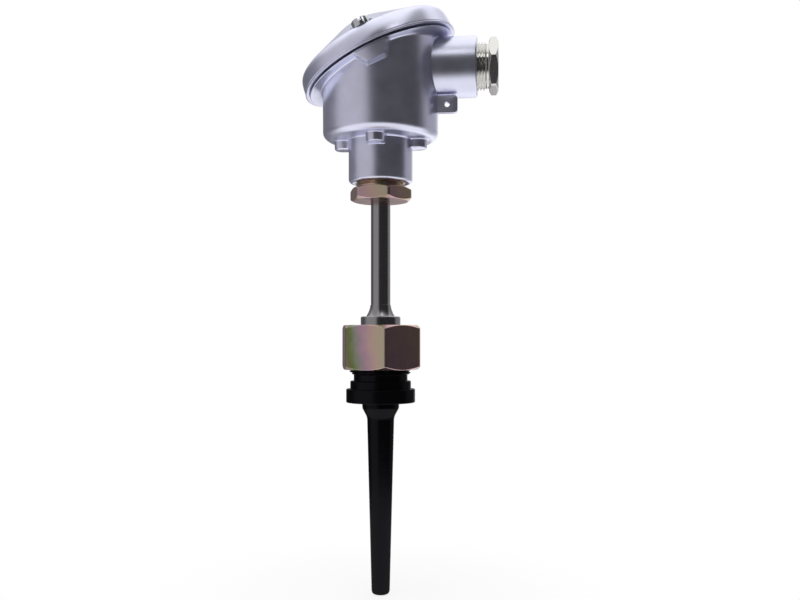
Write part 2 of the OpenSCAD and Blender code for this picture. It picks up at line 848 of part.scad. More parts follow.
// Four leads rise through the insulator and bend out to the clamps.
module lead_wires() {
    lead_end = pocket_z + clamp_size.z / 2;
    foot = lead_r * [cos(45), sin(45)];
    goal = clamp_at - [clamp_size.x / 2 - 0.5, clamp_size.y / 2 - 0.5];
    run = norm(goal - foot);
    way = atan2(goal.y - foot.y, goal.x - foot.x);
    color("#c9c3b0")
    for (sx = [0, 1]) mirror([sx, 0, 0]) for (sy = [0, 1]) mirror([0, sy, 0])
        translate([foot.x, foot.y, 0]) union() {
            bar(lead_d, sensor_z + sensor_h, lead_end);
            translate([0, 0, lead_end]) sphere(d = lead_d, $fn = 24);
            translate([0, 0, lead_end]) rotate([0, 90, way]) cylinder(d = lead_d, h = run, $fn = 24);
        }
}

// Ceramic block: round base, raised body, four pockets and two screw shelves.
module terminal_block() {
    wall = barrier_t;
    color("#e9e4d6")
    difference() {
        union() {
            bar(block_d, block_z, shelf_z);
            intersection() {
                bar(block_d - 3, shelf_z - 1, block_top);
                translate([-block_x / 2, -block_y / 2, shelf_z - 1]) cube([block_x, block_y, block_h + 1]);
            }
        }
        for (sx = [-1, 1]) for (sy = [-1, 1])
            translate([sx * (block_x / 4 - wall / 4) - (block_x / 2 - 1.5 * wall) / 2,
                       sy > 0 ? wall / 2 : -block_y / 2 - 1, pocket_z])
                cube([block_x / 2 - 1.5 * wall, block_y / 2 + 1 - wall / 2, pocket_drop + 1]);
        bar(block_socket_d, block_z - 1, pocket_z + 0.6);
        bar(lead_way_d, pocket_z, block_top + 1);
        for (side = [-1, 1]) at_insert_screw(side)
            bar(insert_screw_d + slip_play, block_z - 1, block_top);
    }
}

// Places children at the four terminals.
module at_terminals() {
    for (sx = [-1, 1]) for (sy = [-1, 1]) translate([sx * clamp_at.x, sy * clamp_at.y, 0]) children();
}

module terminal_clamps() {
    color("#c8a24a")
    at_terminals() difference() {
        translate([-clamp_size.x / 2, -clamp_size.y / 2, pocket_z]) cube(clamp_size);
        bar(clamp_bore_d, pocket_z - 1, pocket_z + clamp_size.z + 1);
    }
}

module terminal_screws() {
    color("#cfcfcf")
    at_terminals() union() {
        bar(clamp_bore_d, pocket_z, pocket_z + clamp_size.z + eps);
        translate([0, 0, pocket_z + clamp_size.z]) slotted_head(clamp_screw_d, clamp_screw_h, 1, 1.2);
    }
}

module insert_screws() {
    color("#cfcfcf")
    for (side = [-1, 1]) at_insert_screw(side) union() {
        bar(insert_screw_d, insert_thread_end, insert_head_z + eps);
        translate([0, 0, insert_head_z]) slotted_head(insert_head_d, insert_head_h, 1.1, 1.3);
    }
}

// Helical compression spring swept as one closed tube, ground flat by its ends
// standing half a wire inside its length.
module coil_spring(z0, h, d, wire, turns) {
    steps = 14;
    sides = 6;
    rings = ceil(turns * steps);
    r = (d - wire) / 2;
    rise = h - wire;
    points = [for (i = [0 : rings]) for (k = [0 : sides - 1])
        let (a = 360 * turns * i / rings, q = 360 * k / sides,
             rr = r + wire / 2 * cos(q))
        [rr * cos(a), rr * sin(a), z0 + wire / 2 + rise * i / rings + wire / 2 * sin(q)]];
    faces = concat(
        [[for (k = [0 : sides - 1]) k]],
        [for (i = [0 : rings - 1]) for (k = [0 : sides - 1])
            [i * sides + k, (i + 1) * sides + k,
             (i + 1) * sides + (k + 1) % sides, i * sides + (k + 1) % sides]],
        [[for (k = [sides - 1 : -1 : 0]) rings * sides + k]]);
    polyhedron(points, faces, convexity = 12);
}

module spring_left() {
    color("#8d8f94")
    at_insert_screw(-1) coil_spring(shelf_z, spring_h, spring_d, spring_wire, spring_turns);
}

module spring_right() {
    color("#8d8f94")
    at_insert_screw(1) coil_spring(shelf_z, spring_h, spring_d, spring_wire, spring_turns);
}

thermowell();
well_gasket();
union_collar();
union_nut();
neck_tube();
hex_adapter();
head_body();
gland_inner_ring();
gland_seal();
gland_slip_ring();
pressure_screw();
ground_screw();
ground_washer();
lid();
lid_seal();
lid_screw_front();
lid_screw_back();
screw_keeper_front();
screw_keeper_back();
insert_plate();
insert_bush();
sheath();
sensor_element();
wire_insulator();
lead_wires();
terminal_block();
terminal_clamps();
terminal_screws();
insert_screws();
spring_left();
spring_right();
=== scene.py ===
"""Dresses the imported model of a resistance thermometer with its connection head.

Run as a script in Blender 4.5: it loads the CAD frame, adds the finished surfaces,
gives every part its material and sets up a plain studio. Shapes are worked out in
millimetres and put into the meshes in metres.
"""

import json
import math
from types import SimpleNamespace

import bpy
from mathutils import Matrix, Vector
import numpy as np


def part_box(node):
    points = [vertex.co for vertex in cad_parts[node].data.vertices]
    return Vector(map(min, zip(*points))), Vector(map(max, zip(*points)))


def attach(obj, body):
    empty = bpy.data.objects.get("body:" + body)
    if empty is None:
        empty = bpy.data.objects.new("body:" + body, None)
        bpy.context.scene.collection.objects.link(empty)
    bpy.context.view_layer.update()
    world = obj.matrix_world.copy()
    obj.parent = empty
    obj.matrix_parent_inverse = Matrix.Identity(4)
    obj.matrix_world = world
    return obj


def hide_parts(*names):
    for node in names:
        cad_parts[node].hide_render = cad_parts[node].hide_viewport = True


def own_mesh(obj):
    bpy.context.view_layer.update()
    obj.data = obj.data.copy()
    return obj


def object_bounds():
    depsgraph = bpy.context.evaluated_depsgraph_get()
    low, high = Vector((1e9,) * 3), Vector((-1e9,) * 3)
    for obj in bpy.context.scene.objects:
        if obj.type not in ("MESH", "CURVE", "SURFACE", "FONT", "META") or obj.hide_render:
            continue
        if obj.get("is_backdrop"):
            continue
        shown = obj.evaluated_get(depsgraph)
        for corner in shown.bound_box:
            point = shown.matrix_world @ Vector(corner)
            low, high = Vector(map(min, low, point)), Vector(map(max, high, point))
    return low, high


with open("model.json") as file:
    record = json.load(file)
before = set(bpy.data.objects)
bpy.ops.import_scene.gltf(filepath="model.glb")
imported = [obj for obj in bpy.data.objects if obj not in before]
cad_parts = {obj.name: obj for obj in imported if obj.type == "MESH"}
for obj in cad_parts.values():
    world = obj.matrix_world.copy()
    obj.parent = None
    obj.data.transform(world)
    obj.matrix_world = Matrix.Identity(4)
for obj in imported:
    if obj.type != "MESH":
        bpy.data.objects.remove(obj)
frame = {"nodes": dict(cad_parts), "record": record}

bl_info = {
    "name": "Resistance thermometer with connection head",
    "version": (1, 0, 0),
    "blender": (4, 5, 0),
    "location": "View3D > Sidebar > Thermometer",
    "description": "Builds the finished surfaces, materials and studio of the thermometer",
    "category": "Mesh",
}

MM = 0.001
TURN = 2 * math.pi
CREASE = math.radians(32)
NOISE_LOW, NOISE_HIGH = 0.3, 0.7    # most of a noise pattern lies between these


# ---------------------------------------------------------------- sizes and colours

def box(node):
    """Lowest and highest corners of a CAD node in millimetres, as two arrays."""
    low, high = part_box(node)
    return np.array(low) / MM, np.array(high) / MM


def length(label, note, value):
    """A property for a length, given in millimetres and kept in metres."""
    return bpy.props.FloatProperty(name=label, description=note, default=value * MM,
                                   unit="LENGTH", precision=5)


def angle(label, note, degrees):
    """A property for an angle, given in degrees and kept in radians."""
    return bpy.props.FloatProperty(name=label, description=note, unit="ROTATION",
                                   default=math.radians(degrees))


def share(label, note, value):
    """A property for a share, from 0 to 1."""
    return bpy.props.FloatProperty(name=label, description=note, default=value,
                                   min=0.0, max=1.0, subtype="FACTOR")


def colour(label, note, value):
    """A property for a linear colour."""
    return bpy.props.FloatVectorProperty(name=label, description=note, size=3, min=0.0,
                                         max=1.0, subtype="COLOR", default=value)


class WellSizes(bpy.types.PropertyGroup):
    """Sizes of the thermowell, the union and the neck."""
    tip_d: length("Tip diameter", "Stem diameter at the tip", 8.8)
    tip_r: length("Tip radius", "Radius round the end of the stem", 2.2)
    root_d: length("Root diameter", "Stem diameter under the shoulder", 13.1)
    cone_h: length("Cone height", "Height of the cone under the shoulder", 5.2)
    shoulder_d: length("Shoulder diameter", "Diameter of the seat", 17.9)
    shoulder_h: length("Shoulder height", "Height of the seat with its edge", 2.8)
    flange_h: length("Flange height", "Height of the flange", 6.5)
    step_d: length("Step diameter", "Collar above the flange", 29.5)
    step_h: length("Step height", "Height of that collar", 3.9)
    groove_d: length("Groove diameter", "Run-out groove under the thread", 26.1)
    groove_h: length("Groove height", "Height of the run-out groove", 3.2)
    thread_d: length("Thread diameter", "Union thread", 30.0)
    pitch: length("Union pitch", "Pitch of the union thread", 2.0)
    bore_d: length("Bore", "Bore of the thermowell", 7.0)
    floor_t: length("Tip wall", "Thickness of the closed end", 6.2)
    collar_d: length("Collar", "Diameter of the union collar", 19.4)
    collar_flange_h: length("Collar flange", "Height of the collar's flange", 4.8)
    collar_h: length("Collar height", "Straight height above the flange", 9.3)
    weld_d: length("Weld neck", "Foot diameter of the weld neck", 14.2)
    nut_af: length("Union nut", "Width across flats of the union nut", 36.0)
    nut_cap: length("Nut cap", "Thickness of the nut over the collar", 5.1)
    nut_turn: angle("Nut turn", "How the union nut stands", -16)
    adapter_af: length("Adapter", "Width across flats of the adapter", 27.0)
    adapter_hex_h: length("Adapter hexagon", "Height of its hexagon", 6.4)
    adapter_turn: angle("Adapter turn", "How the adapter stands", -8)
    adapter_pitch: length("Adapter pitch", "Pitch of the adapter's thread", 1.5)
    socket_h: length("Tube socket", "Depth of the tube in its socket", 8.0)
    tube_d: length("Tube", "Diameter of the neck tube", 9.5)
    sheath_hole_d: length("Sheath hole", "Hole for the insert's sheath", 7.2)


class HeadSizes(bpy.types.PropertyGroup):
    """Sizes of the cast head, its gland and its ear."""
    neck_d: length("Neck diameter", "Cast neck over the adapter", 31.1)
    neck_h: length("Neck height", "Height of the cast neck", 20.6)
    body_d: length("Body diameter", "Cylindrical wall of the head", 55.9)
    wall_t: length("Wall", "Thickness of that wall", 3.95)
    floor_t: length("Floor", "Thickness of the floor", 4.1)
    lower_edge_r: length("Lower edge", "Height of the body's rounded lower edge", 3.6)
    lower_edge_w: length("Lower edge width", "Width of that edge", 4.8)
    wall_flare: length("Wall flare", "How far the front and back lean out at the rim", 5.0)
    cast_r: length("Cast radius", "How softly cast surfaces meet", 1.1)
    rim_rise: length("Rim rise", "Height of the rim over the underside", 36.4)
    rim_reach: length("Rim reach", "How far the rim stands out", 9.65)
    rim_t: length("Rim thickness", "Thickness of the rim's edge", 0.5)
    rim_fillet_r: length("Rim fillet", "Radius under the rim", 1.0)
    lid_tilt: angle("Lid tilt", "Slope of the rim and lid", 24)
    lid_gap: length("Lid gap", "Gap between rim and lid", 0.7)
    screw_boss_h: length("Lid screw boss", "Depth of the boss under the rim", 7.8)
    screw_boss_w: length("Boss width", "Width of that boss at the rim", 19.0)
    screw_boss_end_w: length("Boss end width", "Its width at the lower end", 8.8)
    screw_inset: length("Screw inset", "Lid screws from the rim's edge", 6.1)
    screw_d: length("Lid screw", "Shank of a lid screw", 5.0)
    insert_pitch: length("Insert pitch", "Spacing of the insert's screws", 33.0)
    insert_boss_reach: length("Insert boss reach", "Reach of the bosses below", 22.8)
    insert_boss_h: length("Insert boss height", "Height of those bosses", 4.3)
    insert_boss_r: length("Insert boss radius", "Radius of those bosses", 4.6)
    insert_screw_d: length("Insert screw", "Thread of the insert's screws", 4.0)
    pad_d: length("Insert pad", "Diameter of the pads round those screws", 10.0)
    pad_h: length("Insert pad height", "Height of those pads over the floor", 3.0)
    ground_pad_d: length("Ground pad", "Diameter of the ground terminal's pad", 8.0)
    ground_screw_d: length("Ground screw", "Thread of the ground screw", 4.0)
    adapter_thread_d: length("Adapter thread", "Thread in the neck", 24.0)
    passage_d: length("Passage", "Passage from neck to cavity", 13.6)
    gland_boss_d: length("Gland barrel", "Diameter of the gland barrel", 28.9)
    gland_reach: length("Gland reach", "End of the barrel from the axis", 46.9)
    gland_thread_d: length("Gland thread", "Thread of the pressure screw", 22.4)
    gland_pitch: length("Gland pitch", "Pitch of that thread", 1.411)
    gland_hole_d: length("Cable hole", "Bore of the pressure screw", 13.0)
    gland_af: length("Gland hexagon", "Width across flats", 24.0)
    gland_hex_h: length("Gland hexagon height", "Height of the hexagon", 4.5)
    gland_turn: angle("Gland turn", "How the pressure screw stands", 24)
    gland_fillet: length("Barrel fillet", "Fillet between barrel and body", 1.1)
    ear_reach: length("Ear reach", "Outer end of the sealing ear", 37.7)
    ear_rise: length("Ear rise", "Height of the ear over the underside", 11.7)
    ear_h: length("Ear height", "Height of the ear", 8.5)
    ear_t: length("Ear thickness", "Thickness of the ear", 2.6)
    ear_front: length("Ear offset", "Ear in front of the gland's axis", 4.2)
    ear_hole_d: length("Ear hole", "Hole for the sealing wire", 2.5)


class LidSizes(bpy.types.PropertyGroup):
    """Sizes of the lid and its screws."""
    reach: length("Lid reach", "How far the lid stands over the rim", 1.8)
    skirt_h: length("Skirt", "Height of the straight skirt", 8.6)
    edge_r: length("Edge radius", "Radius over the skirt", 2.2)
    flank: angle("Flank", "Slope of the flank", 28)
    crown_r: length("Crown", "Radius at which the crown starts", 16.0)
    wall_t: length("Lid wall", "Thickness of the lid", 2.8)
    swell: length("Swell", "Fuller side of the lid over the gland", 1.3)
    seal_w: length("Seal width", "Width of the lid seal", 1.2)
    seat_b: length("Screw seat", "Height of the screw seats", 9.7)
    head_d: length("Screw head", "Diameter of the lid screw heads", 8.5)
    head_h: length("Screw head height", "Height of those heads", 3.7)


class Colours(bpy.types.PropertyGroup):
    """Colours and gloss of the finishes."""
    cast: colour("Cast alloy", "Cast light alloy of head and lid", (0.78, 0.79, 0.95))
    cast_rough: share("Cast roughness", "Roughness of the castings", 0.29)
    well: colour("Well steel", "Blackened thermowell", (0.010, 0.0095, 0.012))
    steel: colour("Stainless", "Bare stainless steel", (0.37, 0.36, 0.36))
    chromate: colour("Chromate", "Passivated nuts under their tints", (0.47, 0.42, 0.30))
    nickel: colour("Nickel", "Plated pressure screw", (0.72, 0.71, 0.68))
    zinc: colour("Zinc", "Plated screws", (0.66, 0.67, 0.69))
    rubber: colour("Rubber", "Seals", (0.012, 0.012, 0.016))
    ceramic: colour("Ceramic", "Terminal block and insulator", (0.83, 0.80, 0.72))
    copper: colour("Copper", "Sealing ring of the union", (0.80, 0.38, 0.22))
    spring: colour("Spring steel", "Springs of the insert", (0.50, 0.50, 0.52))
    brass: colour("Brass", "Terminal clamps", (0.78, 0.60, 0.30))
    dark: colour("Dark steel", "Keeper rings of the lid screws", (0.16, 0.16, 0.17))
    lead: colour("Lead wire", "Leads of the sensor", (0.72, 0.69, 0.66))


def lengths(group):
    """All properties of a group as plain numbers: lengths in mm, angles in radians."""
    def plain(name):
        value = getattr(group, name)
        return value / MM if group.bl_rna.properties[name].unit == "LENGTH" else value
    return SimpleNamespace(**{name: plain(name) for name in group.__annotations__})


# ---------------------------------------------------------------- shape functions

def ramp(x):
    """Smooth step: 0 below 0, 1 above 1, 3x^2 - 2x^3 between."""
    x = np.clip(x, 0, 1)
    return x * x * (3 - 2 * x)


def soft_min(a, b, k):
    """The smaller of a and b, with the corner between them rounded over a width k."""
    h = np.clip(0.5 + 0.5 * (b - a) / k, 0, 1)
    return b + (a - b) * h - k * h * (1 - h)


def soft_max(a, b, k):
    """The larger of a and b, rounded in the same way."""
    return -soft_min(-a, -b, k)


def circle(count):
    """Angles of count columns round a full turn."""
    return np.arange(count) * (TURN / count)


def hex_circle(turn, per_side):
    """Angles round a hexagon, closer together near its corners: f - 0.13 sin(2 pi f)."""
    t = np.arange(6 * per_side) / per_side
    side = np.floor(t)
    f = t - side
    return turn + (side + f - 0.13 * np.sin(TURN * f)) * (TURN / 6)


def rounded(corners, edge, steps=4):
    """Closed line through corner points (a third number is that corner's own radius).

    Each corner P becomes the quadratic curve from P - t u to P + t v, where u and v are
    the directions in and out and t is the corner's radius, at most 0.45 of either side.
    """
    points = np.array([c[:2] for c in corners], float)
    radii = np.array([c[2] if len(c) > 2 else edge for c in corners], float)
    into = points - np.roll(points, 1, 0)
    out = np.roll(points, -1, 0) - points
    len_in = np.linalg.norm(into, axis=1)
    len_out = np.linalg.norm(out, axis=1)
    trim = np.minimum(radii, 0.45 * np.minimum(len_in, len_out))[:, None]
    start = points - into / len_in[:, None] * trim
    end = points + out / len_out[:, None] * trim
    t = np.linspace(0, 1, steps + 1)[None, :, None]
    curve = ((1 - t) ** 2 * start[:, None] + 2 * t * (1 - t) * points[:, None]
             + t ** 2 * end[:, None]).reshape(-1, 2)
    keep = np.linalg.norm(curve - np.roll(curve, 1, 0), axis=1) > 1e-6
    return curve[keep]


def open_line(corners, edge, steps=4):
    """A rounded line without its two ends, which lie on the axis."""
    return rounded(corners, edge, steps)[1:-1]


def densify(line, wanted, step):
    """Splits the segments of a closed line where wanted is true into parts of step."""
    nxt = np.roll(line, -1, 0)
    size = np.linalg.norm(nxt - line, axis=1)
    parts = np.where(wanted, np.ceil(size / step), 1).astype(int)
    index = np.repeat(np.arange(len(line)), parts)
    part = np.arange(parts.sum()) - np.repeat(np.cumsum(parts) - parts, parts)
    t = (part / parts[index])[:, None]
    return line[index] * (1 - t) + nxt[index] * t


def between(line, r_low, r_high, z_low, z_high):
    """True for segments of a closed line with both ends inside a window of r and z."""
    slack = 0.02
    inside = ((line[:, 0] > r_low - slack) & (line[:, 0] < r_high + slack)
              & (line[:, 1] > z_low - slack) & (line[:, 1] < z_high + slack))
    return inside & np.roll(inside, -1)


def turned(line, angles, radius=None):
    """Grid of a half section carried round Z: row i at (r cos a, r sin a, z).

    radius(r, z, a) may give each point its own radius, for threads and hexagons.
    """
    r, z, a = line[:, :1], line[:, 1:], angles[None, :]
    r = r + 0 * a if radius is None else radius(r, z, a)
    return np.stack([r * np.cos(a), r * np.sin(a), z + 0 * r], -1)


def helix_cut(z, a, pitch, depth):
    """Depth of a thread groove: 0.5 - 0.8 cos(2 pi (z / pitch - a / 2 pi)), held in 0..1."""
    return depth * np.clip(0.5 - 0.8 * np.cos(TURN * z / pitch - a), 0, 1)


def hexagon(a, half, turn, blend):
    """Radius of a hexagon of half width half, its corners rounded by blend."""
    phi = np.abs(np.mod(a - turn, TURN / 6) - TURN / 12)
    return soft_min(half / np.cos(phi), half / np.cos(TURN / 6 - phi), blend)


def with_thread(r, crest, where):
    """Radius of an outline, cut back to a thread's own radius where told."""
    return np.where(where, np.minimum(r, crest), r + 0 * crest)


def with_hexagon(r, a, half, turn, blend, edge, inner):
    """The smaller of outline and hexagon, rounded, from 0.95 half out, and inner inside."""
    outer = soft_min(r, hexagon(a, half, turn, blend), edge)
    return np.where(r > 0.95 * half, outer, inner)


def hex_levels(half):
    """Radii of a hexagon's turned face and of its chamfer's foot, and the drop between.

    The chamfer falls by 30 degrees from just inside the flats to clear of the corners.
    """
    face, foot = 0.985 * half, half / math.cos(TURN / 12) + 0.4
    return face, foot, (foot - face) * math.tan(TURN / 12)


def hex_outline(half, z0, z1, edge=0.3, last=0.3):
    """Outline corners of a chamfered hexagon, from its lower face to its upper one.

    edge is the radius that rounds them, and last the radius at the upper face.
    """
    face, foot, drop = hex_levels(half)
    return [(face, z0, edge), (foot, z0 + drop, edge), (foot, z1 - drop, edge),
            (face, z1, last)]


def hex_rows(line, half, z0, z1, side):
    """Splits a hexagon's two chamfers into fine rows and its flats into rows of side."""
    face, foot, drop = hex_levels(half)
    line = densify(line, between(line, face, foot, z0, z0 + drop)
                   | between(line, face, foot, z1 - drop, z1), 0.12)
    return densify(line, between(line, foot - 0.1, foot, z0, z1), side)


def along_x(points, z):
    """Turns a grid made about Z so that its axis lies along +X at height z."""
    return np.stack([points[..., 2], -points[..., 1], z + points[..., 0]], -1)


def tilted(points, rim_z, tilt):
    """Moves a grid from the lid's own axes to the head's: b along the rim's normal."""
    x, y, b = points[..., 0], points[..., 1], points[..., 2]
    return np.stack([x * math.cos(tilt) - b * math.sin(tilt), y,
                     rim_z + x * math.sin(tilt) + b * math.cos(tilt)], -1)


def on_rim(h, v, side=0):
    """Function that moves a shape made on the lid's own axes into the head's.

    With side it goes to the lid screw at the front (-1) or at the back (1).
    """
    spot = np.array([0, side * v.screw_r, 0])
    return lambda p: tilted(p + spot, v.rim, h.lid_tilt)


# ---------------------------------------------------------------- meshes

def new_object(name, data):
    """Object at the origin of the scene that shows a mesh, a lamp or a camera."""
    obj = bpy.data.objects.new(name, data)
    bpy.context.scene.collection.objects.link(obj)
    return obj


def grid_mesh(name, points, loop=False, uv=None):
    """Object from a grid of points (mm) whose columns close into rings.

    With loop the last row joins the first; otherwise each end is closed by a fan to
    its middle. Quads follow the grid, so faces point outwards where columns run
    counter-clockwise and rows run upwards on the outside.
    """
    rows, cols = points.shape[:2]
    last = rows if loop else rows - 1
    i, j = np.meshgrid(np.arange(last), np.arange(cols), indexing="ij")
    i2, j2 = (i + 1) % rows, (j + 1) % cols
    quads = np.stack([i * cols + j, i * cols + j2, i2 * cols + j2, i2 * cols + j],
                     -1).reshape(-1, 4)
    verts = points.reshape(-1, 3)
    corners = quads.ravel()
    sizes = np.full(len(quads), 4)
    if not loop:
        ring = np.arange(cols)
        nxt = (ring + 1) % cols
        low, high = len(verts), len(verts) + 1
        top = (rows - 1) * cols
        fans = np.concatenate([np.stack([nxt, ring, 0 * ring + low], -1),
                               np.stack([top + ring, top + nxt, 0 * ring + high], -1)])
        verts = np.concatenate([verts, points[0].mean(0)[None], points[-1].mean(0)[None]])
        corners = np.concatenate([corners, fans.ravel()])
        sizes = np.concatenate([sizes, np.full(len(fans), 3)])
    mesh = bpy.data.meshes.new(name)
    mesh.vertices.add(len(verts))
    mesh.vertices.foreach_set("co", (verts * MM).ravel())
    mesh.loops.add(len(corners))
    mesh.loops.foreach_set("vertex_index", corners.astype(np.int32))
    mesh.polygons.add(len(sizes))
    starts = np.concatenate([[0], np.cumsum(sizes)[:-1]])
    mesh.polygons.foreach_set("loop_start", starts.astype(np.int32))
    mesh.polygons.foreach_set("loop_total", sizes.astype(np.int32))
    mesh.update(calc_edges=True)
    if uv is not None:
        layer = mesh.uv_layers.new(name="Round")
        full = np.zeros((len(verts), 2))
        full[:rows * cols] = uv.reshape(-1, 2)
        layer.data.foreach_set("uv", full[corners].ravel())
    finish_normals(mesh)
    return new_object(name, mesh)


def finish_normals(mesh):
    """Smooth shading that breaks at edges sharper than CREASE."""
    mesh.polygons.foreach_set("use_smooth", np.ones(len(mesh.polygons), bool))
    mesh.set_sharp_from_angle(angle=CREASE)


def joined(*tools):
    """Steps for carve that join each tool to the shape."""
    return [("UNION", tool) for tool in tools]


def cut(*tools):
    """Steps for carve that cut each tool out of the shape."""
    return [("DIFFERENCE", tool) for tool in tools]


def carve(obj, steps):
    """Joins or cuts closed shapes, in order, and keeps the result as plain mesh."""
    for operation, tool in steps:
        step = obj.modifiers.new(operation.title(), "BOOLEAN")
        step.operation = operation
        step.solver = "MANIFOLD"
        step.object = tool
    bpy.context.view_layer.update()
    graph = bpy.context.evaluated_depsgraph_get()
    mesh = bpy.data.meshes.new_from_object(obj.evaluated_get(graph))
    obj.modifiers.clear()
    old, obj.data = obj.data, mesh
    mesh.name = obj.name
    bpy.data.meshes.remove(old)
    for _, tool in steps:
        bpy.data.meshes.remove(tool.data)
    if not mesh.polygons:
        raise RuntimeError(obj.name + ": the cut left nothing")
    finish_normals(mesh)
    return obj


def rod(name, r, z0, z1, move=None, flare=0.0, cols=64):
    """Round bar about Z from z0 to z1 to join or cut, its upper end flared by flare."""
    line = np.array([[r, z0], [r, z1 - 2 * flare], [r, z1 - flare], [r + flare, z1]])
    points = turned(line if flare else line[[0, 3]], circle(cols))
    return grid_mesh(name, move(points) if move else points)


# ---------------------------------------------------------------- materials

def add_node(tree, kind, inputs=None, **settings):
    """Adds a shader node; an input may be a number, a colour or another node's output."""
    made = tree.nodes.new(kind)
    for name, value in settings.items():
        setattr(made, name, value)
    for name, value in (inputs or {}).items():
        if isinstance(value, bpy.types.NodeSocket):
            tree.links.new(value, made.inputs[name])
        else:
            made.inputs[name].default_value = value
    return made


def math_node(tree, operation, a, b=0.0, c=0.0, clamp=False):
    """Result of a Math node; only some operations take all three inputs."""
    return add_node(tree, "ShaderNodeMath", {0: a, 1: b, 2: c}, operation=operation,
                    use_clamp=clamp).outputs[0]


def fade(tree, value, low, high):
    """Smooth rise from 0 at low to 1 at high."""
    return add_node(tree, "ShaderNodeMapRange", {"Value": value, "From Min": low,
                    "From Max": high}, interpolation_type="SMOOTHSTEP").outputs["Result"]


def colour_ramp(tree, value, stops):
    """Colour that runs through the stops, pairs of a place from 0 to 1 and a tone."""
    made = add_node(tree, "ShaderNodeValToRGB", {"Fac": value})
    elements = made.color_ramp.elements
    while len(elements) < len(stops):
        elements.new(1.0)
    for element, (place, tone) in zip(elements, stops):
        element.position = place
        element.color = (*tone, 1.0)
    return made.outputs["Color"]


def noise(tree, place, size, detail=2.0, roughness=0.5):
    """Cloudy pattern whose patches are about size millimetres across."""
    return add_node(tree, "ShaderNodeTexNoise", {"Vector": place, "Scale": 1 / (size * MM),
                    "Detail": detail, "Roughness": roughness}).outputs["Fac"]


def new_finish(base, metallic, roughness, **sockets):
    """Material with one Principled shader, and its tree, shader and object coordinates."""
    made = bpy.data.materials.new("Finish")
    made.use_nodes = True
    tree = made.node_tree
    shader = tree.nodes["Principled BSDF"]
    shader.inputs["Base Color"].default_value = (*base, 1.0)
    shader.inputs["Metallic"].default_value = metallic
    shader.inputs["Roughness"].default_value = roughness
    for socket, value in sockets.items():
        shader.inputs[socket.replace("_", " ")].default_value = value
    place = add_node(tree, "ShaderNodeTexCoord").outputs["Object"]
    return made, tree, shader, place


def vary_colour(tree, shader, value, base, amount):
    """Base colour a little darker and lighter with a pattern."""
    low, high = ([min(1.0, c * (1 + side * amount)) for c in base] for side in (-1, 1))
    stops = [(NOISE_LOW, low), (NOISE_HIGH, high)]
    tree.links.new(colour_ramp(tree, value, stops), shader.inputs["Base Color"])


def vary_gloss(tree, shader, value, low, high):
    """Roughness between low and high with a pattern."""
    spread = add_node(tree, "ShaderNodeMapRange", {
        "Value": value, "From Min": NOISE_LOW, "From Max": NOISE_HIGH, "To Min": low,
        "To Max": high})
    tree.links.new(spread.outputs["Result"], shader.inputs["Roughness"])


def emboss(tree, shader, value, height):
    """Surface relief of a pattern, height in millimetres."""
    bump = add_node(tree, "ShaderNodeBump", {"Height": value, "Distance": height * MM})
    tree.links.new(bump.outputs["Normal"], shader.inputs["Normal"])


def cast_finish(c):
    """Cast light alloy: wide clouds in tone and gloss and a low grain."""
    made, tree, shader, place = new_finish(c.cast, 0.97, c.cast_rough)
    grain = noise(tree, place, 2.4)
    cloud = noise(tree, place, 9.0)
    vary_colour(tree, shader, cloud, c.cast, 0.05)
    vary_gloss(tree, shader, cloud, c.cast_rough - 0.005, c.cast_rough + 0.045)
    emboss(tree, shader, grain, 0.006)
    return made


def turned_finish(base, roughness, metallic=1.0, **sockets):
    """Turned metal: faint rings across Z, from noise that is squeezed along it."""
    made, tree, shader, place = new_finish(base, metallic, roughness, **sockets)
    line = add_node(tree, "ShaderNodeMapping", {"Vector": place, "Scale": (25, 25, 2600)})
    rings = add_node(tree, "ShaderNodeTexNoise", {"Vector": line.outputs["Vector"],
                     "Scale": 1.0, "Detail": 3.0}).outputs["Fac"]
    vary_gloss(tree, shader, rings, roughness * 0.8, roughness * 1.25)
    emboss(tree, shader, rings, 0.006)
    return made


# Tints of the chromate film: place along it, and how much of the base colour's red, green
# and blue it lets through.
FILM = (
    (0.00, (0.574, 0.571, 0.533)), (0.14, (0.447, 0.524, 0.300)),
    (0.24, (0.468, 0.690, 0.400)), (0.36, (0.766, 0.810, 1.000)),
    (0.50, (1.149, 0.833, 1.400)), (0.64, (1.298, 0.952, 1.433)),
    (0.80, (1.426, 1.119, 1.267)), (1.00, (1.277, 1.238, 1.233)),
)


def chromate_finish(c):
    """Passivated steel whose tint runs through the film's tints across each flat.

    The place in FILM is u + 0.12 v + 0.35 cloud - 0.17.
    """
    rough = 0.3
    made, tree, shader, place = new_finish(c.chromate, 1.0, rough)
    uv = add_node(tree, "ShaderNodeUVMap", uv_map="Round").outputs["UV"]
    parts = add_node(tree, "ShaderNodeSeparateXYZ", {"Vector": uv}).outputs
    fine = noise(tree, place, 0.8)
    drift = math_node(tree, "MULTIPLY_ADD", noise(tree, place, 7.0, 3.0, 0.6), 0.35, -0.17)
    sway = math_node(tree, "MULTIPLY_ADD", parts["Y"], 0.12, drift)
    film = math_node(tree, "ADD", parts["X"], sway)
    tones = [(at, [base * part for base, part in zip(c.chromate, tint)]) for at, tint in FILM]
    tree.links.new(colour_ramp(tree, film, tones), shader.inputs["Base Color"])
    vary_gloss(tree, shader, fine, rough - 0.02, rough + 0.03)
    emboss(tree, shader, fine, 0.01)
    return made


def plain_finish(base, metallic, roughness, patch=1.0, amount=0.06, height=0.01):
    """Evenly coloured finish with slight clouds and relief of the given patch size."""
    made, tree, shader, place = new_finish(base, metallic, roughness)
    cloud = noise(tree, place, patch, 3.0)
    vary_colour(tree, shader, cloud, base, amount)
    vary_gloss(tree, shader, cloud, roughness - 0.03, roughness + 0.04)
    emboss(tree, shader, cloud, height)
    return made


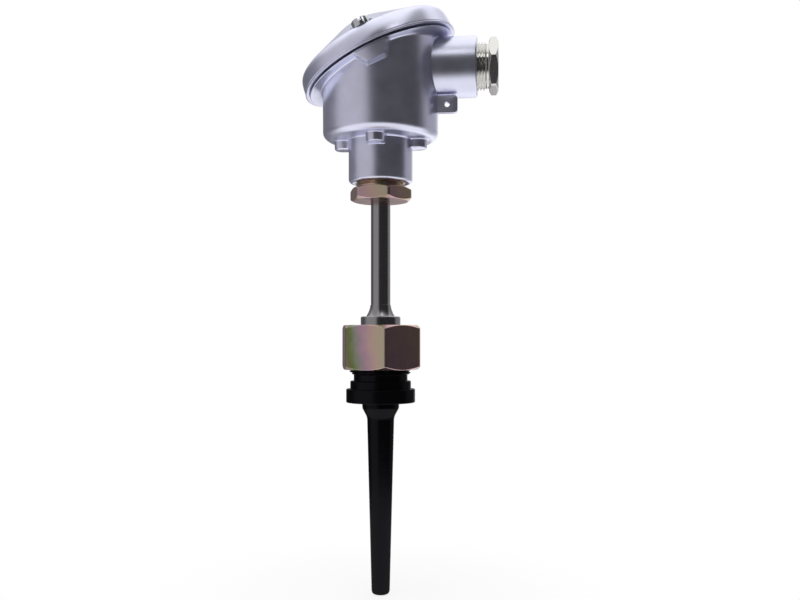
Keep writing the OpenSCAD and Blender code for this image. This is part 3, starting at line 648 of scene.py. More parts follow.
# Material slot -> its finish; the numbers stand in the order of the functions above.
FINISHES = {
    "cast_alloy": cast_finish,
    "well_steel": lambda c: turned_finish(c.well, 0.25, 0.85, Specular_Tint=(0.4, 0.4, 0.4, 1)),
    "stainless": lambda c: turned_finish(c.steel, 0.2),
    "chromated": chromate_finish,
    "nickel": lambda c: plain_finish(c.nickel, 1.0, 0.12, 0.7, 0.04, 0.004),
    "zinc": lambda c: plain_finish(c.zinc, 1.0, 0.17, 0.6, 0.05, 0.005),
    "copper": lambda c: plain_finish(c.copper, 1.0, 0.3, 1.5, 0.1),
    "rubber": lambda c: plain_finish(c.rubber, 0.0, 0.5, 0.8, 0.1),
    "spring_steel": lambda c: plain_finish(c.spring, 1.0, 0.22, 0.5),
    "ceramic": lambda c: plain_finish(c.ceramic, 0.0, 0.28, 2.5, 0.03, 0.02),
    "terminal_brass": lambda c: plain_finish(c.brass, 1.0, 0.24),
    "dark_steel": lambda c: plain_finish(c.dark, 1.0, 0.3, 0.8),
    "lead": lambda c: plain_finish(c.lead, 1.0, 0.3, 0.5),
}


def dress(obj, slot):
    """Gives an object the finish of a slot, which is made when it is first asked for."""
    name = "Finish " + slot
    if name not in bpy.data.materials:
        FINISHES[slot](bpy.context.scene.rtd_colours).name = name
    obj.data.materials.clear()
    obj.data.materials.append(bpy.data.materials[name])


def settle(obj, body, node, slot):
    """Gives a finished piece its finish and its body, and hides the CAD node it stands for."""
    dress(obj, slot)
    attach(obj, body)
    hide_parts(node)
    return obj


# ---------------------------------------------------------------- shapes of the pieces

def well_shape(s):
    """Thermowell: stem, cone, seat, flange, groove and thread carried round the axis.

    The radius is the outline's, and above the groove the smaller of it and the thread's.
    """
    low, high = box("thermowell")
    tip, top = low[2], high[2]
    step = s.flange_h
    groove = step + s.step_h
    thread = groove + s.groove_h
    cone = -s.shoulder_h - s.cone_h
    r_tip, r_root, r_seat, r_flange = s.tip_d / 2, s.root_d / 2, s.shoulder_d / 2, high[0]
    r_step, r_groove, r_thread, r_bore = s.step_d / 2, s.groove_d / 2, s.thread_d / 2, s.bore_d / 2
    lead, edge, soft, cut_depth, row = 1.2, 0.45, 0.2, 1.1, 12
    kink = (r_root + 0.18 * (r_seat - r_root), cone + 0.3 * s.cone_h, 1.2)
    line = open_line([
        (0, tip, 0), (r_tip, tip, s.tip_r), (r_root, cone, 1.0), kink,
        (r_seat, -s.shoulder_h, 0.6), (r_seat, 0, 0.3), (r_flange, 0), (r_flange, step),
        (r_step, step, 0.25), (r_step, groove), (r_groove, groove, 0.35),
        (r_groove, thread, 0.35), (r_thread - lead, thread, soft),
        (r_thread, thread + lead, soft), (r_thread, top - lead, soft),
        (r_thread - lead, top, soft), (r_bore + 1, top, 0.15), (r_bore, top - 1, 0.15),
        (r_bore, tip + s.floor_t, 0.8), (0, tip + s.floor_t, 0)], edge)
    line = densify(line, between(line, r_tip, r_root, tip + 2, cone), row)
    line = densify(line, between(line, r_thread - lead, r_thread, thread, top), s.pitch / 14)

    def radius(r, z, a):
        crest = r_thread - helix_cut(z, a, s.pitch, cut_depth)
        return with_thread(r, crest, (r > r_groove + 0.2) & (z > thread - 0.1))
    return turned(line, circle(160), radius)


def flat_uv(line, columns, turn, z0, z1, first=0.0, last=1.0, calm=False):
    """UV of a hexagon piece: u runs from first to last over each flat, v up its height.

    Where calm is set, u hardly changes on every second flat.
    """
    calm_first, calm_rise = 0.56, 0.16
    flat, along = np.divmod(np.mod(columns - turn, TURN) / (TURN / 6), 1.0)
    u = first + (last - first) * along
    if calm:
        u = np.where(flat % 2 == 1, calm_first + calm_rise * along, u)
    v = (line[:, 1] - z0) / (z1 - z0)
    return np.stack(np.broadcast_arrays(u[None, :], v[:, None]), -1)


def nut_shape(s):
    """Union nut: a chamfered hexagon over a threaded bore, with its cap over the collar.

    The radius is the smaller of the outline and the hexagon outside, and the bore plus
    the thread's groove, which runs out under the cap, inside.
    """
    low, high = box("union_nut")
    z0, z1 = low[2], high[2]
    seat, hole = z1 - s.nut_cap, s.collar_d / 2 + 0.25
    half, r_bore, lead = s.nut_af / 2, s.thread_d / 2 + 0.1, 0.8
    line = rounded([(r_bore + lead, z0), *hex_outline(half, z0, z1), (hole, z1, 0.4),
                    (hole, seat), (r_bore, seat), (r_bore, z0 + lead)], 0.2)
    line = hex_rows(line, half, z0, z1, 1.5)
    line = densify(line, between(line, r_bore - 0.1, r_bore + 0.1, z0, seat), s.pitch / 10)
    columns = hex_circle(s.nut_turn, 26)

    def radius(r, z, a):
        groove = helix_cut(z, a, s.pitch, 0.9) * ramp((seat - 1 - z) / 2)
        inner = np.where((r > r_bore - 0.1) & (z < seat - 0.5), r + groove, r + 0 * a)
        return with_hexagon(r, a, half, s.nut_turn, 0.9, 0.3, inner)
    return (turned(line, columns, radius),
            flat_uv(line, columns, s.nut_turn, z0, z1, calm=True))


def collar_shape(s):
    """Union collar: flange under the nut, straight collar and a hollow weld neck.

    The weld neck narrows by (1 - k)^1.7 while k goes from the shoulder to its top.
    """
    low, high = box("union_collar")
    z0, top, r_flange = low[2], high[2], high[0]
    seat = z0 + s.collar_flange_h
    shoulder, socket = seat + s.collar_h, top - s.socket_h
    r, r_tube, r_hole = s.collar_d / 2, s.tube_d / 2, s.sheath_hole_d / 2
    foot, neck = s.weld_d / 2, r_tube + 0.25
    flank = [(neck + (foot - neck) * (1 - k) ** 1.7, shoulder + (top - shoulder) * k, 0.1)
             for k in np.linspace(0.12, 1, 9)]
    line = rounded([(r_hole, z0, 0.4), (r_flange, z0, 0.6), (r_flange, seat, 0.3),
                    (r, seat, 0.2), (r, shoulder, 0.8), (foot, shoulder, 0.15), *flank,
                    (r_tube, top, 0.1), (r_tube, socket, 0.1), (r_hole, socket, 0.1)], 0.2)
    return turned(line, circle(128))


def tube_shape(s):
    """Neck tube: a plain pipe with its inside open."""
    low, high = box("neck_tube")
    outer, inner = s.tube_d / 2, s.tube_d / 2 - 1
    line = rounded([(inner, low[2]), (outer, low[2]), (outer, high[2]), (inner, high[2])], 0.1)
    return turned(line, circle(96))


def adapter_shape(s, thread_d):
    """Adapter: hexagon below, threaded spigot above, bore for the tube and the sheath.

    The radius is the smaller of the outline and the hexagon below, and of the outline
    and the thread, which runs in above the hexagon.
    """
    low, high = box("hex_adapter")
    z0, top = low[2], high[2]
    z1, socket = z0 + s.adapter_hex_h, z0 + s.socket_h
    half, r_thread, lead = s.adapter_af / 2, thread_d / 2, 1
    r_tube, r_hole = s.tube_d / 2, s.sheath_hole_d / 2 + 0.5
    line = rounded([(r_tube, z0), *hex_outline(half, z0, z1), (r_thread, z1, 0.3),
                    (r_thread, top - lead, 0.2), (r_thread - lead, top, 0.2),
                    (r_hole, top), (r_hole, socket), (r_tube, socket)], 0.15)
    line = hex_rows(line, half, z0, z1, 1.0)
    line = densify(line, between(line, r_thread - lead, r_thread, z1, top),
                   s.adapter_pitch / 10)
    columns = hex_circle(s.adapter_turn, 26)

    def radius(r, z, a):
        crest = r_thread - helix_cut(z, a, s.adapter_pitch, 0.85) * ramp((z - z1) / 1.5)
        inner = with_thread(r, crest, (r > r_thread - lead - 0.2) & (z > z1))
        return with_hexagon(r, a, half, s.adapter_turn, 0.8, 0.3, inner)
    return (turned(line, columns, radius),
            flat_uv(line, columns, s.adapter_turn, z0, z1, 0.54, 0.96))


def pressure_screw_shape(s):
    """Pressure screw: thread and hexagon about the gland's axis, its mouth flared.

    It is made about Z, where the radius is the smaller of the outline and the hexagon,
    or of the outline and the thread, and is then laid along X.
    """
    low, high = box("pressure_screw")
    x0, x1, lead, neck, edge = low[0], high[0], 1, 0.9, 0.2
    hex_x = x1 - s.gland_hex_h
    half, r, hole = s.gland_af / 2, s.gland_thread_d / 2, s.gland_hole_d / 2
    thread_end = hex_x - 1.1
    line = rounded([(hole, x0), (r - lead, x0), (r, x0 + lead), (r, thread_end - 0.5, edge),
                    (r - neck, thread_end, edge), (r - neck, hex_x, edge),
                    *hex_outline(half, hex_x, x1, edge), (hole + 1.5, x1, 0.4),
                    (hole, x1 - 1.5, 0.4)], 0.15)
    line = hex_rows(line, half, hex_x, x1, s.gland_hex_h)
    line = densify(line, between(line, r - lead, r, x0, thread_end), s.gland_pitch / 12)

    def radius(rr, z, a):
        crest = r - helix_cut(z, a, s.gland_pitch, 0.85)
        inner = with_thread(rr, crest, (rr > r - lead - 0.2) & (z < hex_x - 1))
        return with_hexagon(rr, a, half, s.gland_turn, 0.7, 0.25, inner)
    screw = turned(line, hex_circle(s.gland_turn, 24), radius)
    return along_x(screw, (low[2] + high[2]) / 2)


def head_levels(s):
    """Heights and radii that the casting's shape hangs on, with sizes from the frame."""
    z0 = box("head_body")[0][2]
    under = z0 + s.neck_h
    screw_low, screw_high = box("pressure_screw")
    rim_r = s.body_d / 2 + s.rim_reach
    return SimpleNamespace(z0=z0, under=under, floor=under + s.floor_t, rim=under + s.rim_rise,
                           gland=(screw_low[2] + screw_high[2]) / 2, rim_r=rim_r,
                           screw_r=rim_r - s.screw_inset, cavity=s.body_d / 2 - s.wall_t,
                           b_low=-s.lid_gap - s.rim_t)


def bar_field(r, z, radius, z0, edge, wide=1.0):
    """Distance to a round bar that starts at z0 with a rounded edge and goes up for ever.

    wide is how many times wider than high the edge is.
    """
    out, down = (r - radius) / wide + edge, (z0 + edge) - z
    return (np.hypot(np.maximum(out, 0), np.maximum(down, 0))
            + np.minimum(np.maximum(out, down), 0) - edge)


def head_field(s, v, p):
    """Signed distance to the outside of the casting, below 0 inside.

    Soft union of the neck, the cylindrical body, the filleted rim, the two drafted
    bosses of the lid screws and the four bosses of the insert's screws. The wall leans
    out by wall_flare (y / r)^2 at the rim, and less and less further down.
    """
    x, y, z = p[..., 0], p[..., 1], p[..., 2]
    r = np.hypot(x, y)
    draft, crisp, soft, side_cosine = 0.06, 0.3, 1.2, 0.84
    neck = bar_field(r, z, s.neck_d / 2, v.z0, 1.8)
    lean = (s.wall_flare * y ** 2 / np.maximum(r, 1) ** 2
            * np.clip((z - v.under) / s.rim_rise, 0, 1.2))
    body = bar_field(r - lean, z, s.body_d / 2, v.under, s.lower_edge_r,
                     s.lower_edge_w / s.lower_edge_r)
    across, along = np.maximum(abs(x), abs(y)), np.minimum(abs(x), abs(y))
    reach = s.insert_boss_reach - s.insert_boss_r
    flank = (np.hypot(np.maximum(across - reach, 0), along) - s.insert_boss_r
             + draft * (v.under - z))
    insert_boss = soft_max(flank, v.under - s.insert_boss_h - z, soft)
    base = soft_min(soft_min(neck, body, 1.2 * s.cast_r), insert_boss, 0.5 * s.cast_r)

    c, n = math.cos(s.lid_tilt), math.sin(s.lid_tilt)
    xt, b = x * c + (z - v.rim) * n, (z - v.rim) * c - x * n
    rt = np.hypot(xt, y)
    f = s.rim_fillet_r
    centre_r, centre_b = s.body_d / 2 - 0.3 + lean + f, v.b_low - f
    fillet = np.where(rt > centre_r, v.b_low - b,
                      np.where(b < centre_b, rt - centre_r + f,
                               f - np.hypot(rt - centre_r, b - centre_b)))
    rim = soft_max(fillet, centre_b - b, 1.5)
    rim = soft_max(soft_max(rim, rt - v.rim_r, crisp), b + s.lid_gap, crisp)
    half = (s.screw_boss_end_w / 2 + (b + s.screw_boss_h) / s.screw_boss_h
            * (s.screw_boss_w - s.screw_boss_end_w) / 2)
    screw_boss = soft_max((abs(xt) - half) * side_cosine,
                          draft * (v.rim_r - rt) - s.screw_boss_h - b, 0.7)
    screw_boss = soft_max(screw_boss, rt - v.rim_r + 0.1, 0.6)
    screw_boss = np.maximum(screw_boss, v.cavity + 1.5 - abs(y))
    screw_boss = np.maximum(screw_boss, b + s.lid_gap)
    return soft_min(soft_min(base, rim, 1.3 * s.cast_r), screw_boss, 0.35 * s.cast_r)


def leave_point(field, near, far, halvings=26):
    """Where rays leave a solid: halving between near, inside it, and far, outside it."""
    for _ in range(halvings):
        middle = (near + far) / 2
        inside = field(middle) < 0
        near, far = np.where(inside, middle, near), np.where(inside, far, middle)
    return near


def head_outside(s, v):
    """Outside of the casting as a fan of rays from its axis.

    Row i lies in a plane through (0, 0, c_i) that leans from level at the underside to
    the rim's slope, column j runs at angle a_j in it, and the point is where the ray
    leaves the casting. Rows lie closer together where the casting has an edge.
    """
    c = math.cos(s.lid_tilt)
    bosses = v.under - s.insert_boss_h
    lean_from, lean_to = v.under + 1.0, v.rim - (s.screw_boss_h + 3.1) / c
    levels = [(v.z0 + 0.02, v.z0 + 1.8, 8), (v.z0 + 3, bosses - 0.8, 7),
              (bosses - 0.3, bosses + 1.2, 12), (bosses + 1.7, v.under - 1, 5),
              (v.under - 0.8, v.under + 0.9, 14), (lean_from, v.floor + 0.6, 12),
              (v.floor + 1.4, lean_to, 22), (v.rim - 9.9 / c, v.rim - 3.4 / c, 24),
              (v.rim - 3.25 / c, v.rim - 1.6 / c, 14), (v.rim - 1.5 / c, v.rim - 0.71 / c, 12)]
    centre = np.concatenate([np.linspace(*level) for level in levels])
    lean = s.lid_tilt * np.clip((centre - lean_from) / (lean_to - lean_from), 0, 1)
    a = circle(360)[None, :]
    ray = np.stack([np.cos(a) * np.cos(lean)[:, None], np.sin(a) + 0 * lean[:, None],
                    np.cos(a) * np.sin(lean)[:, None]], -1)
    start = np.zeros_like(ray)
    start[..., 2] = centre[:, None]
    reach = leave_point(lambda t: head_field(s, v, start + t[..., None] * ray),
                        np.zeros(ray.shape[:2]), np.full(ray.shape[:2], v.rim_r + 6))
    return start + reach[..., None] * ray


def gland_barrel(s, v):
    """Gland barrel: a line with a rounded end turned about the gland's axis."""
    r, end, edge = s.gland_boss_d / 2, s.gland_reach, 0.7
    line = np.array([[r, 14.0], [r, end - edge], [r - 0.08, end - 0.4],
                     [r - 0.3, end - 0.12], [r - edge, end]])
    return along_x(turned(line, circle(180)), v.gland)


def barrel_fillet(s, v):
    """Closed ring that runs the gland barrel into the body.

    For each angle round the barrel, B is where its surface meets the body. The ring's
    face is the quadratic curve A-B-C, with A along the barrel and C on the body, each a
    fillet's width away, and its back lies inside the metal.
    """
    a, f, r = circle(180), s.gland_fillet, s.gland_boss_d / 2
    sunk, deep, inside = 0.04, 1.2, 12.0
    across = np.stack([0 * a, -np.sin(a), np.cos(a)], -1)
    axis, middle = np.array([1.0, 0, 0]), np.array([0, 0, v.gland])
    foot = leave_point(lambda x: head_field(s, v, middle + x[:, None] * axis + r * across),
                       np.full(a.shape, inside), np.full(a.shape, s.gland_reach + 2))
    meet = middle + foot[:, None] * axis + r * across
    upper = meet + f * axis - sunk * across
    lower = meet + f * across
    step = 0.05
    for _ in range(4):      # moves C down the field's slope to just under the body's surface
        value = head_field(s, v, lower) + sunk
        slope = np.stack([head_field(s, v, lower + e) - head_field(s, v, lower - e)
                          for e in step * np.eye(3)], -1) / (2 * step)
        lower = lower - (value / (slope ** 2).sum(-1))[:, None] * slope
    t = np.linspace(0, 1, 9)[:, None, None]
    face = (1 - t) ** 2 * lower + 2 * t * (1 - t) * meet + t ** 2 * upper
    back = meet - deep * across - deep * axis
    return np.concatenate([face, back[None]])


def ear_shape(s, v):
    """Flat ear: a rounded outline carried through the ear's thickness."""
    x0, x1 = v.cavity + 1.5, s.ear_reach
    z0 = v.under + s.ear_rise
    z1 = z0 + s.ear_h
    line = rounded([(x0, z0, 0.1), (x1, z0), (x1, z1), (x0, z1, 0.1)], 2.0, 6)
    middle = np.array([(x0 + x1) / 2, (z0 + z1) / 2])
    half, edge = s.ear_t / 2, 0.35
    depth = np.array([[half, edge], [half - 0.3 * edge, 0.3 * edge], [half - edge, 0.0]])
    depth = np.concatenate([depth, depth[::-1] * [-1, 1]])
    flat = line[None] - depth[:, 1][:, None, None] * np.sign(line - middle)[None]
    return np.stack([flat[..., 0], depth[:, :1] - s.ear_front + 0 * flat[..., 0],
                     flat[..., 1]], -1)


def head_cavity(v):
    """Space inside the head: a line turned round Z, rounded where the wall meets the floor."""
    corner, top = 2, v.rim + 30
    line = open_line([(0, v.floor, 0), (v.cavity, v.floor), (v.cavity, top, 0), (0, top, 0)],
                     corner, 6)
    return turned(line, circle(128))


def neck_bore(s, v):
    """Bore for the adapter's thread: a line turned round Z, with a cone at its mouth."""
    r, mouth, end = s.adapter_thread_d / 2 + 0.1, 1.5, 12.2
    line = open_line([(0, v.z0 - 1, 0), (r + mouth, v.z0 - 1, 0), (r + mouth, v.z0 - 0.01, 0),
                      (r, v.z0 + mouth), (r, v.z0 + end), (0, v.z0 + end, 0)], 0.2)
    return turned(line, circle(128))


def ground_pad(v):
    """Function that moves a shape made about Z onto the ground terminal's pad.

    The pad faces the axis from the wall, a sixth of a turn from the gland, with its
    screw's axis along the inward direction.
    """
    cos, sin = math.cos(TURN / 6), math.sin(TURN / 6)
    inward, side = np.array([-cos, -sin, 0]), np.array([sin, -cos, 0])
    face = [0, 0, v.rim - 3.3] - inward * (v.cavity - 2.8)
    axes = np.stack([side, np.cross(inward, side), inward])
    return lambda p: face + p @ axes


def head_steps(s, v):
    """What is joined to the casting and what is cut from it, in order."""
    spots = [s.insert_pitch / 2 * np.array([math.cos(a), math.sin(a), 0]) for a in circle(4)]
    eye = np.array([s.ear_reach - 5, -s.ear_front, v.under + s.ear_rise + 4])
    on_pad = ground_pad(v)

    def along_y(p):
        """Lays a shape made about Z along Y, through the ear's hole."""
        return eye + np.stack([p[..., 0], -p[..., 2], p[..., 1]], -1)

    def into_gland(p):
        """Lays a shape made about Z along the gland's axis."""
        return along_x(p, v.gland)

    def at(spot):
        """Function that moves a shape to a screw of the insert."""
        return lambda p: p + spot
    outside = joined(grid_mesh("barrel", gland_barrel(s, v)),
                     grid_mesh("barrel fillet", barrel_fillet(s, v), loop=True),
                     grid_mesh("ear", ear_shape(s, v)))
    room = cut(grid_mesh("cavity", head_cavity(v)))
    pads = joined(*[rod("insert pad", s.pad_d / 2, v.floor - 1, v.floor + s.pad_h, at(spot))
                    for spot in spots],
                  rod("ground pad", s.ground_pad_d / 2, -4, 0, on_pad))
    holes = cut(rod("ground hole", s.ground_screw_d / 2 + 0.1, -4.8, 0.05, on_pad, 0.25),
                *[rod("insert hole", s.insert_screw_d / 2 + 0.1, v.under - 3.3,
                      v.floor + s.pad_h + 0.05, at(spot), 0.25) for spot in spots],
                rod("ear hole", s.ear_hole_d / 2, -2, 2, along_y),
                rod("passage", s.passage_d / 2, v.z0 - 1, v.floor + 1),
                grid_mesh("neck bore", neck_bore(s, v)),
                rod("gland bore", s.gland_thread_d / 2 + 0.1, s.body_d / 2 - 0.35,
                    s.gland_reach + 0.3, into_gland, 0.8, 128),
                rod("cable way", s.gland_hole_d / 2 + 1, 18, s.body_d / 2 + 1, into_gland),
                *[rod("screw hole", s.screw_d / 2 + 0.05, -6.6, -0.4, on_rim(s, v, side), 0.3)
                  for side in (-1, 1)])
    return outside + room + pads + holes


def lid_surface(s, h):
    """Half section of the lid's outside: its radius, flank, side and top.

    The straight flank goes through foot. The side runs from the bead to the flank, and
    guide has its two ends and, between them, the corner that a straight side and the
    flank would make; sloping is the weight of that corner at the front and the back. The
    crown is an arc that touches the flank at crown_r.
    """
    lid_r, end_r = h.body_d / 2 + h.rim_reach + s.reach, 34.5
    sin, cos = math.sin(s.flank), math.cos(s.flank)
    foot = np.array([lid_r - 0.7 - s.edge_r * (1 - sin), s.skirt_h - s.edge_r * (1 - cos)])

    def on_flank(r, lift=0.0):
        """Point of the flank at radius r, or above it."""
        return np.array([r, foot[1] + (foot[0] - r) * math.tan(s.flank) + lift])
    guide = np.array([lid_r - 0.3, 1.3]), on_flank(lid_r - 0.85, 0.25), on_flank(end_r)
    arc_r = s.crown_r / sin
    middle = on_flank(s.crown_r)[1] - arc_r * cos
    swing = np.linspace(s.flank, 0, 15)[:, None]
    top = np.array([0, middle]) + arc_r * np.hstack([np.sin(swing), np.cos(swing)])
    return SimpleNamespace(r=lid_r, foot=foot, guide=guide, sloping=0.6, top=top, arc_r=arc_r,
                           middle=middle)


def lid_side(guide, full, steps=19):
    """Curve (P + 2 w t (1 - t) Q + R t^2) / weights; the larger w, the squarer the side."""
    start, corner, end = guide
    t = np.linspace(0, 1, steps)[:, None, None]
    w = full[None, :, None]
    return (((1 - t) ** 2 * start + 2 * w * t * (1 - t) * corner + t ** 2 * end)
            / ((1 - t) ** 2 + 2 * w * t * (1 - t) + t ** 2))


def lid_shape(s, h):
    """Lid shell about its own axis, from the inner pole down and back up the outside.

    Its side slopes inwards at the front and back and stands squarer at the two ends.
    Over the gland it is a little fuller: there b rises by up to a swell that fades out
    towards the middle of the lid and down to the bead.
    """
    g, a, w = lid_surface(s, h), circle(256), s.wall_t
    end_on = ramp((abs(np.cos(a)) - 0.45) / 0.45)
    sides = lid_side(g.guide, g.sloping + end_on * np.where(np.cos(a) > 0, 3.4, 2.2))
    r_in = g.r - w - 0.4
    inner = g.foot - w * np.array([math.sin(s.flank), math.cos(s.flank)])
    inner_foot = (r_in, inner[1] + (inner[0] - r_in) * math.tan(s.flank), 1.0)
    centre = np.array([0, g.middle])
    inner_crown = (g.top[::-1] - centre) * (g.arc_r - w) / g.arc_r + centre
    lip = [(r_in, 0, 0.3), (g.r, 0, 0.4), (g.r, 0.75, 0.35), (g.r - 0.5, 0.9, 0.1)]
    line = open_line([(*p, 0) for p in inner_crown] + [inner_foot] + lip
                     + [(*p, 0) for p in g.top], 0.3)
    before = len(line) - len(g.top) + 1     # the side stands between the lip and the top
    shell = turned(line, a)
    bent = np.stack([sides[..., 0] * np.cos(a), sides[..., 0] * np.sin(a), sides[..., 1]], -1)
    points = np.concatenate([shell[:before], bent, shell[before:]])
    x, b = points[..., 0], points[..., 2]
    r = np.hypot(x, points[..., 1])
    outside = (np.arange(len(points)) > before - 3)[:, None]
    lift = s.swell * ramp((x - 6) / 30) * ramp((r - 18) / 16) * ramp((b - 0.7) / 7)
    points[..., 2] += np.where(outside, lift, 0)
    return points


def groove_ring(r, width, low, high, edge):
    """Closed ring: a rectangle of the given width, from low to high, turned round Z."""
    line = rounded([(r, low), (r + width, low), (r + width, high), (r, high)], edge, 2)
    return turned(line, circle(192))


def lid_steps(s, h, v):
    """The lid's sealing land and screw columns, then its seal groove and screw holes."""
    g, place = lid_surface(s, h), on_rim(h, v)
    outline = np.concatenate([lid_side(g.guide, np.array([g.sloping]))[:, 0], g.top])[::-1]
    seal_r, margin = v.cavity / math.cos(h.lid_tilt) + 0.45, 0.5
    land_top, groove_top, far, sunk = 11.5, 1.4, 30, 0.6
    seat_r, way_r, column_r = s.head_d / 2 + 1.2, h.screw_d / 2 + 0.3, s.head_d / 2 + 2.4

    def column(side):
        """Bar round a lid screw whose upper end follows the lid's outside from below."""
        points = turned(np.array([[column_r, 0.3], [column_r, 1.0]]), circle(64))
        points[..., 1] += side * v.screw_r
        r = np.hypot(points[1, :, 0], points[1, :, 1])
        points[1, :, 2] = np.interp(r, outline[:, 0], outline[:, 1]) - sunk
        return grid_mesh("column", place(points))
    land = groove_ring(seal_r - margin, s.seal_w + 2 * margin, 0.2, land_top, 0.1)
    groove = groove_ring(seal_r, s.seal_w, -1, groove_top, 0.05)
    steps = joined(grid_mesh("land", place(land), loop=True), column(-1), column(1))
    steps += cut(grid_mesh("groove", place(groove), loop=True))
    for side in (-1, 1):
        steps += cut(rod("seat", seat_r, s.seat_b, far, on_rim(h, v, side)),
                     rod("way", way_r, -1, s.seat_b + 1, on_rim(h, v, side)))
    return steps


def lid_screw_shape(s, h):
    """Lid screw about its own axis: cheese head, groove for the keeper, threaded end.

    Along that end the radius is the smaller of the outline and the thread, which is never
    cut below the point.
    """
    r, rh, seat, top = h.screw_d / 2, s.head_d / 2, s.seat_b, s.seat_b + s.head_h
    end, thread_end, keeper, keeper_end = -6, -0.45, r - 0.4, 0.15
    line = open_line([(0, end, 0), (r - 0.6, end), (r, end + 0.6), (r, thread_end),
                      (keeper, thread_end), (keeper, keeper_end), (r, keeper_end), (r, seat),
                      (rh, seat), (rh, top - 0.1, 0.6), (0, top, 0)], 0.12)
    line = densify(line, between(line, r - 0.05, r, end + 0.6, thread_end), 0.07)

    def radius(rr, z, a):
        crest = np.maximum(r - helix_cut(z, a, 0.8, 0.4), r - 0.6)
        return with_thread(rr, crest, (z < thread_end - 0.05) & (z > end))
    return turned(line, circle(64), radius)


def slot_tool(top):
    """Long block along Y that cuts a screwdriver slot into a head whose top is given."""
    width, depth, reach = 1.5, 2.0, 8
    line = rounded([(-width / 2, top - depth, 0.1), (width / 2, top - depth, 0.1),
                    (width / 2, top + 2, 0), (-width / 2, top + 2, 0)], 0.1, 2)
    y = np.array([reach, -reach])[:, None]
    return np.stack([line[:, 0] + 0 * y, y + 0 * line[:, 0], line[:, 1] + 0 * y], -1)


def spring_shape(node, wire):
    """Coil spring: a round wire carried along a helix whose end turns lie closer.

    The path is (R cos a, R sin a, z), with a in step with t and z climbing by 6% of the
    height over each end turn. Round it runs a circle between the outward direction and
    the one square to that and to the path.
    """
    low, high = box(node)
    middle = (low + high) / 2
    big = (high[1] - low[1]) / 2 - wire / 2
    turns, t = 5.5, np.linspace(0, 1, 150)
    a = TURN * turns * t
    ends = 0.75 / turns
    climb = np.interp(t, [0, ends, 1 - ends, 1], [0, 0.06, 0.94, 1])
    z = low[2] + wire / 2 + (high[2] - low[2] - wire) * climb
    path = np.stack([big * np.cos(a), big * np.sin(a), z], -1)
    along = np.gradient(path, axis=0)
    along /= np.linalg.norm(along, axis=1)[:, None]
    out = np.stack([np.cos(a), np.sin(a), 0 * a], -1)
    up = np.cross(along, out)
    ring = circle(10)[None, :, None]
    tube = path[:, None] + wire / 2 * (np.cos(ring) * out[:, None] + np.sin(ring) * up[:, None])
    return tube + np.array([middle[0], middle[1], 0])


# ---------------------------------------------------------------- operators

class BuildWell(bpy.types.Operator):
    """Thermowell with its thread"""
    bl_idname = "rtd.build_well"
    bl_label = "Thermowell"

    def execute(self, context):
        well = grid_mesh("finished_thermowell", well_shape(lengths(context.scene.rtd_well)))
        settle(well, "thermowell", "thermowell", "well_steel")
        return {"FINISHED"}


class BuildUnion(bpy.types.Operator):
    """Union nut, union collar and neck tube"""
    bl_idname = "rtd.build_union"
    bl_label = "Union and neck"

    def execute(self, context):
        s = lengths(context.scene.rtd_well)
        points, uv = nut_shape(s)
        nut = grid_mesh("finished_union_nut", points, loop=True, uv=uv)
        settle(nut, "union_nut", "union_nut", "chromated")
        collar = grid_mesh("finished_union_collar", collar_shape(s), loop=True)
        settle(collar, "thermometer", "union_collar", "stainless")
        tube = grid_mesh("finished_neck_tube", tube_shape(s), loop=True)
        settle(tube, "thermometer", "neck_tube", "stainless")
        return {"FINISHED"}


class BuildAdapter(bpy.types.Operator):
    """Hexagonal adapter between the neck tube and the head"""
    bl_idname = "rtd.build_adapter"
    bl_label = "Adapter"

    def execute(self, context):
        s, h = lengths(context.scene.rtd_well), lengths(context.scene.rtd_head)
        points, uv = adapter_shape(s, h.adapter_thread_d)
        adapter = grid_mesh("finished_adapter", points, loop=True, uv=uv)
        settle(adapter, "thermometer", "hex_adapter", "chromated")
        return {"FINISHED"}


class BuildHead(bpy.types.Operator):
    """Cast connection head with its gland barrel, bosses, ear, cavity and holes"""
    bl_idname = "rtd.build_head"
    bl_label = "Connection head"

    def execute(self, context):
        s = lengths(context.scene.rtd_head)
        v = head_levels(s)
        casting = carve(grid_mesh("finished_head", head_outside(s, v)), head_steps(s, v))
        settle(casting, "thermometer", "head_body", "cast_alloy")
        return {"FINISHED"}


class BuildGland(bpy.types.Operator):
    """Pressure screw of the cable gland"""
    bl_idname = "rtd.build_gland"
    bl_label = "Cable gland"

    def execute(self, context):
        points = pressure_screw_shape(lengths(context.scene.rtd_head))
        screw = grid_mesh("finished_pressure_screw", points, loop=True)
        settle(screw, "pressure_screw", "pressure_screw", "nickel")
        return {"FINISHED"}


class BuildLid(bpy.types.Operator):
    """Cast lid with its screw seats"""
    bl_idname = "rtd.build_lid"
    bl_label = "Lid"

    def execute(self, context):
        s, h = lengths(context.scene.rtd_lid), lengths(context.scene.rtd_head)
        v = head_levels(h)
        shell = grid_mesh("finished_lid", on_rim(h, v)(lid_shape(s, h)))
        settle(carve(shell, lid_steps(s, h, v)), "lid", "lid", "cast_alloy")
        return {"FINISHED"}


class BuildLidScrews(bpy.types.Operator):
    """The two captive lid screws with their slots"""
    bl_idname = "rtd.build_lid_screws"
    bl_label = "Lid screws"

    def execute(self, context):
        s, h = lengths(context.scene.rtd_lid), lengths(context.scene.rtd_head)
        v = head_levels(h)
        for name, side in (("lid_screw_front", -1), ("lid_screw_back", 1)):
            place = on_rim(h, v, side)
            screw = grid_mesh("finished_" + name, place(lid_screw_shape(s, h)))
            slot = grid_mesh("slot", place(slot_tool(s.seat_b + s.head_h)))
            settle(carve(screw, cut(slot)), name, name, "zinc")
        return {"FINISHED"}


